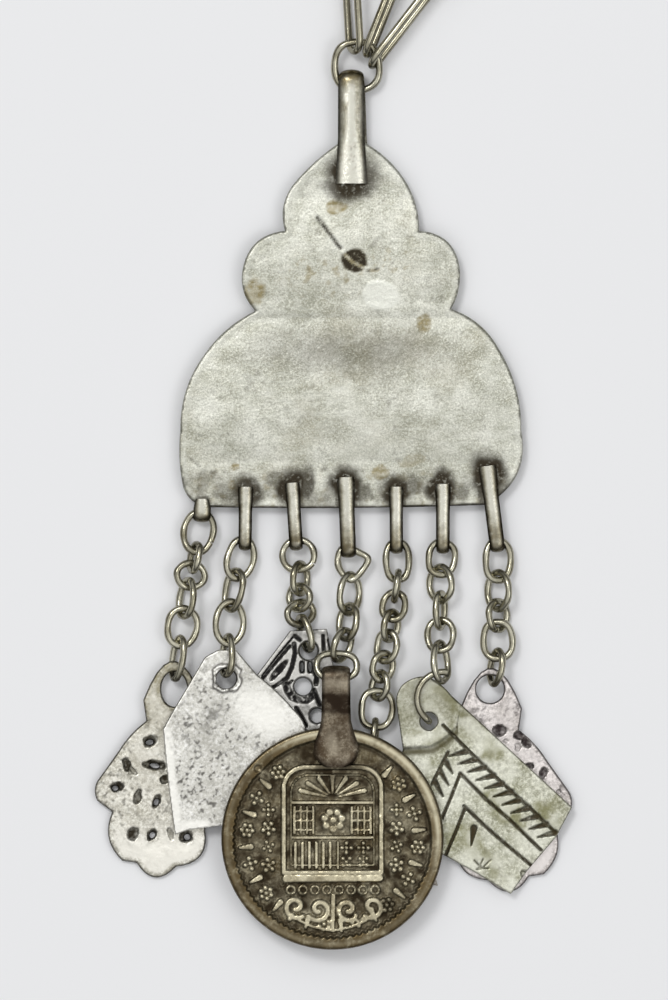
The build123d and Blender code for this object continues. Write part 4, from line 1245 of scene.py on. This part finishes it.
def make_ornate():
    outline = outline_points(ORNATE_OUTLINE, ORNATE_SIZE, ORNATE_SIZE, ORNATE_HOLE)
    holes = []
    for across, up, radius in ORNATE_HOLES:
        centre = (ORNATE_HOLE[0] + across * ORNATE_SIZE, ORNATE_HOLE[1] + up * ORNATE_SIZE)
        holes.append(oval_points(centre, (radius, radius), 0, 22, 0.05, up * 10))
    for pixel_x in ORNATE_SLOTS:
        holes.append(photo_oval(pixel_x, 667, 0.22, 0.62, 0, 12, 0.05))
    return relief_sheet("ornate_cast", outline, holes, ORNATE_CELL, ornate_surface, "ornate_silver")


CHEVRON_OUTLINE = [
    (-0.140, 0.085, 0.0),
    (-0.111, -0.119, 0.0),
    (-0.196, -0.421, 0.0),
    (0.072, -0.574, 0.0),
    (0.209, -0.651, 0.0),
    (0.349, -0.736, 0.0),
    (0.417, -0.638, 0.0),
    (0.540, -0.494, 0.0),
    (0.609, -0.366, 0.0),
    (0.094, 0.111, 0.004),
    (0.026, 0.174, 0.004),
    (-0.026, 0.191, 0.009),
    (-0.115, 0.153, 0.006),
]
CHEVRON_LENGTH = 29.4
CHEVRON_HOLE = (9.8, -26.9)
CHEVRON_THICKNESS = 0.65
CHEVRON_BORE = 1.1
CHEVRON_CELL = 0.13
CHEVRON_EDGE = 0.15
CHEVRON_ROOM = 0.05
ENGRAVING_DEPTH = 0.2
ENGRAVING_WIDTH = 0.34
WEDGE_WIDTH = 0.66
CHEVRON_TAB = 1.98
CHEVRON_TIP = 1.25
FOLD_THICKNESS = 0.25
FOLD_EDGE = [(396, 750), (412, 749), (430, 748), (440, 743), (447, 738), (456, 730)]
ENGRAVED = [
    [(443, 725), (470, 752), (500, 781), (530, 808), (556, 833)],
    [(460, 773), (486, 799), (510, 820), (541, 850)],
    [(464, 806), (486, 827), (508, 846), (532, 866)],
    [(448, 752), (440, 768), (432, 784)],
    [(460, 774), (451, 797), (442, 818)],
    [(465, 808), (456, 831), (446, 854)],
]
WEDGE_FIRST = (467, 751)
WEDGE_STEP = (8.8, 8.15)
WEDGE_REACH = (-18, 5)
WEDGE_COUNT = 11
# Single wedges, from the wide end to the point, and their width in millimetres
SMALL_WEDGES = [
    ((446, 762), (453, 774), 0.55),
    ((440, 771), (449, 786), 0.55),
    ((435, 782), (443, 797), 0.55),
    ((474, 828), (471, 846), 0.75),
]
SCRATCHES = [
    ((474, 860), (482, 868)),
    ((483, 859), (478, 869)),
    ((476, 869), (489, 868)),
    ((482, 868), (491, 860)),
]
NICK = [(521, 871), (527, 871), (522, 878), (521, 871)]

# Columns: centre in the photograph, radii in millimetres, turn, strength
CHEVRON_STAINS = [
    (418, 732, 1.6, 0.6, 0, 0.85),
    (472, 712, 3.4, 1.6, -42, 0.6),
    (466, 735, 2.0, 1.3, -42, 0.5),
    (550, 828, 1.5, 0.9, 0, 0.8),
    (437, 740, 2.2, 0.8, 20, 0.9),
    (418, 684, 1.0, 0.9, 0, 0.55),
    (505, 815, 2.0, 1.0, -42, 0.45),
]


def chevron_surface(x, y, depth):
    reach = (0.349 * CHEVRON_LENGTH, -0.736 * CHEVRON_LENGTH)
    base = lying(CHEVRON_HOLE, reach, CHEVRON_TAB, CHEVRON_TIP)(x, y)
    edge = [from_photo(*pixel) for pixel in FOLD_EDGE]
    below = np.full_like(x, FAR)
    for start, end in zip(edge, edge[1:]):
        below = np.minimum(below, segment_distance(x, y, start, end)[0])
    edge_y = np.interp(x, [point[0] for point in edge], [point[1] for point in edge])
    past_end, end_y = edge[-1]
    folded = (y > edge_y) & (x < past_end + (y - end_y) * 0.2)
    signed = np.where(folded, below, -below)
    flap = fade(signed, -0.15, 0.5) * (1 - fade(x, from_photo(448, 0)[0], from_photo(466, 0)[0]))
    cut = np.zeros_like(x)
    for line in ENGRAVED:
        cut = most(cut, photo_line(x, y, line, ENGRAVING_WIDTH, 0.3))
    for number in range(WEDGE_COUNT):
        start = (WEDGE_FIRST[0] + WEDGE_STEP[0] * number, WEDGE_FIRST[1] + WEDGE_STEP[1] * number)
        end = (start[0] + WEDGE_REACH[0], start[1] + WEDGE_REACH[1])
        cut = most(cut, wedge(x, y, start, end, WEDGE_WIDTH))
    for start, end, width in SMALL_WEDGES:
        cut = most(cut, wedge(x, y, start, end, width))
    for start, end in SCRATCHES:
        cut = most(cut, 0.6 * photo_line(x, y, [start, end], 0.18))
    cut = most(cut, 0.6 * photo_line(x, y, NICK, 0.16))
    wave = 0.05 * noise(x, y, 4.0, 91, 2) + 0.015 * noise(x, y, 0.6, 92, 2)
    top = base + CHEVRON_THICKNESS - CHEVRON_ROOM + wave + FOLD_THICKNESS * flap
    top = top - ENGRAVING_DEPTH * cut - rounded(depth, CHEVRON_EDGE)
    under = base + rounded(depth, SHEET_UNDER_EDGE)
    # Painted shade in a band below the fold's edge, in the dark and the greenish stain colour.
    fold_shade = bell(signed + 0.35, 0.45) * (x < past_end + 0.3)
    hole_at = np.hypot(x - CHEVRON_HOLE[0], y - CHEVRON_HOLE[1])
    bore = 0.35 * (1 - fade(hole_at, 1.1, 1.6))
    flecks = 0.25 * fade(noise(x, y, 0.5, 93, 2), 0.3, 0.7)
    rim = 0.5 * (1 - fade(depth, 0, 0.16))
    tarnish_and_shade = most(0.95 * cut, 0.7 * fold_shade, bore, flecks, rim, 0.22 * fade(y, -29.5, -26.5))
    stain = 0.1 + 0.75 * fade(noise(x, y, 3.0, 94, 3), -0.05, 0.45)
    stain = most(stain, 0.8 * fold_shade, 0.5 * fade(y, -29.5, -25.5))
    stain = most(stain, blots(x, y, CHEVRON_STAINS, 0.7, 0.45, 0, 0.2))
    polish_and_highlight = 0.6 * fade(noise(x, y, 2.6, 95, 3), -0.1, 0.4)
    polish_and_highlight = polish_and_highlight + 0.2 * photo_spot(x, y, (505, 875), (4, 4), 0, 0.9)
    by_hole = 0.25 * photo_spot(x, y, (425, 690), (3.5, 3), 0, 0.9)
    # A painted highlight along the fold's rim.
    fold_highlight = 0.6 * photo_line(x, y, [(408, 740), (440, 733)], 1.4, 0.9)
    polish_and_highlight = most(polish_and_highlight, by_hole, fold_highlight)
    return top, under, (tarnish_and_shade, stain, polish_and_highlight * (1 - cut))


def make_chevron():
    outline = outline_points(CHEVRON_OUTLINE, CHEVRON_LENGTH, CHEVRON_LENGTH, CHEVRON_HOLE, 6)
    hole = oval_points(CHEVRON_HOLE, (CHEVRON_BORE, CHEVRON_BORE), 0, 24, 0.05, 4)
    return relief_sheet("chevron_sheet", outline, [hole], CHEVRON_CELL, chevron_surface, "chevron_silver")


# Coin

COIN_BOTTOM = 2.85
COIN_THICKNESS = 1.6
COIN_TOP = COIN_BOTTOM + COIN_THICKNESS
COIN_FIELD = 12.3
COIN_SINK = 0.36
COIN_RELIEF = 0.32
COIN_CELL = 0.125
COIN_ROOM = 0.03
COIN_EDGE = 0.45
COIN_UNDER_EDGE = 0.35
COIN_UNDER_SINK = 0.25
NICK_DEPTH = 0.22
COIN_BAIL_X = -1.8
COIN_BAIL_FOOT = -32.6
COIN_BAIL_TOP = -19.9
COIN_BAIL_THICKNESS = 0.6
COIN_BAIL_DOME = 0.5
# The bail's widths along the front leg, as (share of the length, width) rows
COIN_BAIL_WIDTHS = [
    (0, 2.2),
    (0.02, 3.4),
    (0.05, 4.4),
    (0.1, 5.2),
    (0.17, 5.6),
    (0.23, 5.45),
    (0.34, 4.5),
    (0.45, 3.75),
    (0.6, 3.6),
    (1.0, 3.5),
]
PANEL_HALF = 6.1
PANEL_LOW = -4.25
PANEL_HIGH = 8.9
PANEL_CORNER = 2.6
# Scrolls under the panel: centre, and the hand they turn to
SCROLLS = [((-4.6, -8.5), 1), ((-1.7, -8.8), -1), ((1.9, -8.8), 1), ((4.9, -8.5), -1)]
LOW_CURVE = [(-4.2, -10.2), (-2.4, -11.0), (0.0, -11.5), (2.4, -11.0), (4.2, -10.2)]
RING_MARKS = 32
BAIL_HALF_ANGLE = 33


def rosette(u, v, centre, size, petals, turn):
    """A small flower of round petals about a dot."""
    masks = [spot(u, v, centre, (size * 0.3, size * 0.3), 0, 0.5)]
    for petal in range(petals):
        angle = 2 * pi * petal / petals + turn
        at = (centre[0] + size * 0.62 * cos(angle), centre[1] + size * 0.62 * sin(angle))
        masks.append(spot(u, v, at, (size * 0.33, size * 0.33), 0, 0.55))
    return most(*masks)


def ring_mark(u, v, centre, radius, width):
    """A small raised ring."""
    around = np.hypot(u - centre[0], v - centre[1])
    return np.exp(-(((around - radius) / (width * 0.6)) ** 2))


def curl(u, v, centre, size, hand, turns, width):
    """A spiral scroll that opens from its centre."""
    points = []
    for share in np.linspace(0, 1, 22):
        angle = share * turns * 2 * pi
        reach = size * (0.2 + 0.8 * share)
        points.append((centre[0] + hand * reach * sin(angle), centre[1] - reach * cos(angle)))
    return stroke(u, v, points, width, 0.45)


def arch_points(inset):
    """The line of an arched panel, a step inside its outer edge."""
    half = PANEL_HALF - inset
    low = PANEL_LOW + inset
    high = PANEL_HIGH - inset
    corner = PANEL_CORNER - inset * 0.5
    points = [(-half, low)]
    for side, begin in ((-1, pi), (1, pi / 2)):
        for angle in np.linspace(begin, begin - pi / 2, 7):
            points.append((side * (half - corner) + corner * cos(angle), high - corner + corner * sin(angle)))
    points += [(half, low), (-half, low)]
    return points


def coin_marks(u, v):
    """The raised ornament: an arched panel, a bar, scrolls and a ring of small marks."""
    marks = [stroke(u, v, arch_points(0), 0.6), 0.7 * stroke(u, v, arch_points(0.95), 0.24)]
    for level in (4.5, 0.15):
        marks.append(stroke(u, v, [(-4.9, level), (4.9, level)], 0.42))
    for number in range(7):
        angle = radians(22 + 22.7 * number)
        root = (0.9 * cos(angle), 5.0 + 0.7 * sin(angle))
        tip = (4.3 * cos(angle), 5.0 + 2.7 * sin(angle))
        marks.append(0.9 * wedge_between(u, v, root, tip, 0.2, 0.6))
    marks.append(rosette(u, v, (0.1, 2.3), 1.75, 7, 0.2))
    for side in (-1, 1):
        for number in range(4):
            across = side * (2.4 + 0.78 * number)
            marks.append(0.9 * stroke(u, v, [(across, 0.7), (across, 3.9)], 0.36))
        for number in range(3):
            level = 1.1 + 1.15 * number
            marks.append(0.8 * stroke(u, v, [(side * 2.3, level), (side * 4.8, level)], 0.3))
    for number in range(6):
        across = -4.6 + 0.86 * number
        marks.append(0.95 * stroke(u, v, [(across, -0.5), (across, -3.6)], 0.42))
    for number in range(2):
        for row in range(2):
            centre = (1.75 + 2.1 * number, -1.15 - 1.75 * row)
            marks.append(rosette(u, v, centre, 0.95, 4, 0.8 * row))
    marks.append(stroke(u, v, [(0.65, -0.4), (0.65, -3.7)], 0.3))
    marks.append(stroke(u, v, [(-5.8, -5.0), (5.9, -4.9)], 0.95, 0.3))
    for number in range(8):
        marks.append(0.9 * ring_mark(u, v, (-5.2 + 1.5 * number, -6.4), 0.5, 0.3))
    for centre, hand in SCROLLS:
        marks.append(curl(u, v, centre, 1.5, hand, 1.1, 0.68))
    marks.append(stroke(u, v, [(0.1, -7.1), (0.0, -11.2)], 0.6))
    marks.append(stroke(u, v, LOW_CURVE, 0.42))
    for side in (-1, 1):
        for number in range(4):
            odd = number % 2
            size = 1.1 if odd else 0.95
            marks.append(rosette(u, v, (side * 8.0, 3.6 - 2.3 * number), size, 4 + odd, number))
    for number in range(RING_MARKS):
        angle = radians(90 + 360 / RING_MARKS * (number + 0.5))
        if abs(90 - np.degrees(angle) % 360) < BAIL_HALF_ANGLE:
            continue
        way = np.array([cos(angle), sin(angle)])
        if number % 2:
            marks.append(rosette(u, v, 10.7 * way, 1.1, 3 + number % 4, angle))
        else:
            marks.append(wedge_between(u, v, 10.25 * way, 11.6 * way, 0.75, 0.35))
    return most(*marks)


def coin_surface(x, y, depth):
    u = x - COIN_CENTRE[0]
    v = y - COIN_CENTRE[1]
    radius = np.hypot(u, v)
    angle = np.arctan2(v, u)
    teeth = 0.13 * np.sin(angle * 96) * fade(-v - u * 0.4, -8, 6)
    inner = COIN_FIELD + teeth + 0.12 * noise(u, v, 2.5, 101, 2)
    field = 1 - fade(radius, inner - 0.18, inner + 0.22)
    marks = coin_marks(u, v) * (0.8 + 0.3 * noise(u, v, 2.0, 102, 2))
    worn = 0.06 * noise(u, v, 1.6, 103, 3) + 0.035 * noise(u, v, 0.45, 104, 2)
    nick = photo_spot(x, y, (258, 768), (0.55, 0.5), 40, 0.6)
    rim_wave = 0.05 * noise(u, v, 3.0, 105, 2)
    relief = (1 - field) * rim_wave + field * (COIN_RELIEF * marks + worn - COIN_SINK)
    top = COIN_TOP - COIN_ROOM + relief - NICK_DEPTH * nick - rounded(depth, COIN_EDGE)
    under = COIN_BOTTOM + rounded(depth, COIN_UNDER_EDGE) + COIN_UNDER_SINK * (1 - fade(radius, 12.2, 12.6))
    # The rim's upper right side is painted as lit: less dark and less stained there, with a painted highlight
    # along the rim's crest.
    glow = fade(v + u * 0.7, 4.0, 13.0)
    gully = bell(radius - inner + 0.35, 0.42)
    low = field * (1 - fade(marks, 0.15, 0.6))
    recess = low * (0.8 + 0.5 * noise(u, v, 1.2, 106, 3))
    # Painted shade on the coin round the bail's foot.
    shade_by_bail = 0.9 * spot(u, v, (0.5, 9.6), (4.4, 3.2), 0, 0.6)
    blot = 0.8 * photo_spot(x, y, (392, 903), (2.2, 1.6), 30, 0.8, 0.3, 8)
    flecks = 0.35 * fade(noise(u, v, 0.8, 107, 3), 0.15, 0.6)
    rim = (1 - field) * (0.22 + 0.3 * fade(noise(u, v, 1.6, 110, 3), -0.1, 0.5)) * (1 - glow)
    edge = 0.6 * (1 - fade(depth, 0.05, 0.4))
    tarnish_and_shade = most(recess, 0.95 * gully, shade_by_bail, blot, flecks, rim, edge)
    stain = 0.15 + 0.3 * fade(noise(u, v, 4.0, 108, 2), -0.2, 0.5)
    stain = stain + 0.75 * (1 - field) * (1 - 0.4 * glow)
    crest = bell(radius - COIN_RADIUS + 0.7, 0.24)
    painted_rim_highlight = 0.04 + 0.16 * crest + glow * (0.1 + 0.85 * crest)
    rubbed = fade(marks, 0.45, 0.95) * (0.7 + 0.3 * noise(u, v, 1.5, 109, 2))
    return top, under, (tarnish_and_shade, stain, field * rubbed + (1 - field) * painted_rim_highlight)


def make_coin():
    outline = oval_points(COIN_CENTRE, (COIN_RADIUS, COIN_RADIUS), 0, 240)
    sheet = relief_sheet("coin_disc", outline, [], COIN_CELL, coin_surface, "coin_bronze")
    middle = COIN_BOTTOM + COIN_THICKNESS / 2
    foot = (COIN_BAIL_X, COIN_BAIL_FOOT)
    fold = (COIN_BAIL_X, COIN_BAIL_TOP)
    size = (COIN_THICKNESS, middle, COIN_BAIL_THICKNESS, COIN_BAIL_WIDTHS, 1.0, COIN_BAIL_DOME)
    vertices, faces = strap(foot, fold, *size, 90, 15)
    x = vertices[:, 0]
    y = vertices[:, 1]
    across = np.abs(x - COIN_BAIL_X)
    rough = noise(x, y, 1.2, 111, 3)
    band = 1 - fade(np.abs(y + 24.6), 0.9, 1.7)
    tip = 1 - fade(y, COIN_BAIL_FOOT, -31.2)
    tarnish_and_shade = 0.42 + 0.55 * band + 0.3 * rough + 0.4 * tip + 0.3 * fade(across, 1.3, 2.5)
    # Painted highlights: a band below the fold and a spot near the foot.
    polish_and_highlight = 0.65 * (1 - fade(np.abs(y + 22.2), 0.2, 0.9))
    polish_and_highlight = polish_and_highlight + 0.9 * spot(x, y, (-2.3, -29.6), (0.9, 1.9), 12, 0.9)
    wear_and_light = np.stack([tarnish_and_shade, 0.4 + 0.2 * rough, polish_and_highlight * (1 - band)], 1)
    return [sheet, finish_mesh("coin_bail", vertices, faces, "coin_bail_copper", wear_and_light)]


for make, node, slot_name in (
    (make_left_hand, "khamsa_left", "khamsa_silver"),
    (make_right_hand, "khamsa_right", "khamsa_silver"),
    (make_kite, "kite_plaque", "kite_silver"),
    (make_ornate, "ornate_triangle", "ornate_silver"),
    (make_chevron, "chevron_plaque", "chevron_silver"),
    (make_coin, "coin", "coin_bronze"),
):
    made = make()
    for piece in made if isinstance(made, list) else [made]:
        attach(piece, "root")
        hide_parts(node)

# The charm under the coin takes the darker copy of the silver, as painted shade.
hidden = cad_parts["hidden_charm"]
hidden.data.materials.clear()
hidden.data.materials.append(metals["silver_in_shade"])

# Floor, light and camera

FLOOR_SIZE = 3.0
FLOOR_COLOUR = (0.85, 0.855, 0.868, 1)
SKY_LOW = 0.04
SKY_HIGH = 0.96
SKY_FROM = 0.15
SKY_TO = 0.97
# Lamps. Columns: name, place from the middle of the picture in metres, size, power.
LIGHTS = [
    ("key", (-0.4, 0.5, 1.25), 0.36, 5),
    ("fill", (0.6, -0.2, 1.1), 0.5, 1.5),
]
CAMERA_DISTANCE = 1.2
# The height that the picture's scale is set at
FOCUS_HEIGHT = 0.002
PHOTO_ROWS = 1000
CAMERA_SENSOR = 36.0
VIEW_HEIGHT = PHOTO_ROWS * PIXEL * MM
VIEW_CENTRE = from_photo(334, 500)


def make_floor():
    """A plain pale surface under the necklace."""
    half = FLOOR_SIZE / 2
    corners = [(-half, -half, 0), (half, -half, 0), (half, half, 0), (-half, half, 0)]
    mesh = bpy.data.meshes.new("floor")
    mesh.from_pydata(corners, [], [(0, 1, 2, 3)])
    floor = bpy.data.objects.new("floor", mesh)
    bpy.context.collection.objects.link(floor)
    material = bpy.data.materials.new("paper")
    material.use_nodes = True
    shader = material.node_tree.nodes["Principled BSDF"]
    shader.inputs["Base Color"].default_value = FLOOR_COLOUR
    shader.inputs["Roughness"].default_value = 0.7
    mesh.materials.append(material)


def make_light(name, place, target, size, power):
    """A square area light that faces a point."""
    light = bpy.data.lights.new(name, "AREA")
    light.size = size
    light.energy = power
    lamp = bpy.data.objects.new(name, light)
    lamp.location = place
    lamp.rotation_euler = (Vector(target) - Vector(place)).to_track_quat("-Z", "Y").to_euler()
    bpy.context.collection.objects.link(lamp)


def make_world():
    """A soft sky, bright overhead and dark towards the horizon."""
    world = bpy.data.worlds.new("studio")
    world.use_nodes = True
    tree = world.node_tree
    place = shader_node(tree, "TexCoord", {})["Generated"]
    upward = shader_node(tree, "SeparateXYZ", {0: place})["Z"]
    span = {"Value": upward, "From Min": SKY_FROM, "From Max": SKY_TO, "To Min": SKY_LOW, "To Max": SKY_HIGH}
    climb = shader_node(tree, "MapRange", span, interpolation_type="SMOOTHSTEP")["Result"]
    background = tree.nodes["Background"]
    background.inputs["Color"].default_value = (1.0, 1.0, 1.0, 1)
    tree.links.new(climb, background.inputs["Strength"])
    bpy.context.scene.world = world


def make_camera():
    """A camera straight above, framed as the photograph is."""
    data = bpy.data.cameras.new("camera")
    data.sensor_fit = "VERTICAL"
    data.sensor_height = CAMERA_SENSOR
    data.lens = CAMERA_SENSOR * (CAMERA_DISTANCE - FOCUS_HEIGHT) / VIEW_HEIGHT
    camera = bpy.data.objects.new("camera", data)
    centre_x = (VIEW_CENTRE[0] + SHIFT_X) * MM
    centre_y = (VIEW_CENTRE[1] + SHIFT_Y) * MM
    camera.location = (centre_x, centre_y, CAMERA_DISTANCE)
    bpy.context.collection.objects.link(camera)
    bpy.context.scene.camera = camera
    return centre_x, centre_y


make_floor()
make_world()
look_x, look_y = make_camera()
for name, (across, along, height), size, power in LIGHTS:
    make_light(name, (look_x + across, look_y + along, height), (look_x, look_y, 0), size, power)
bpy.context.scene.view_settings.view_transform = "Standard"

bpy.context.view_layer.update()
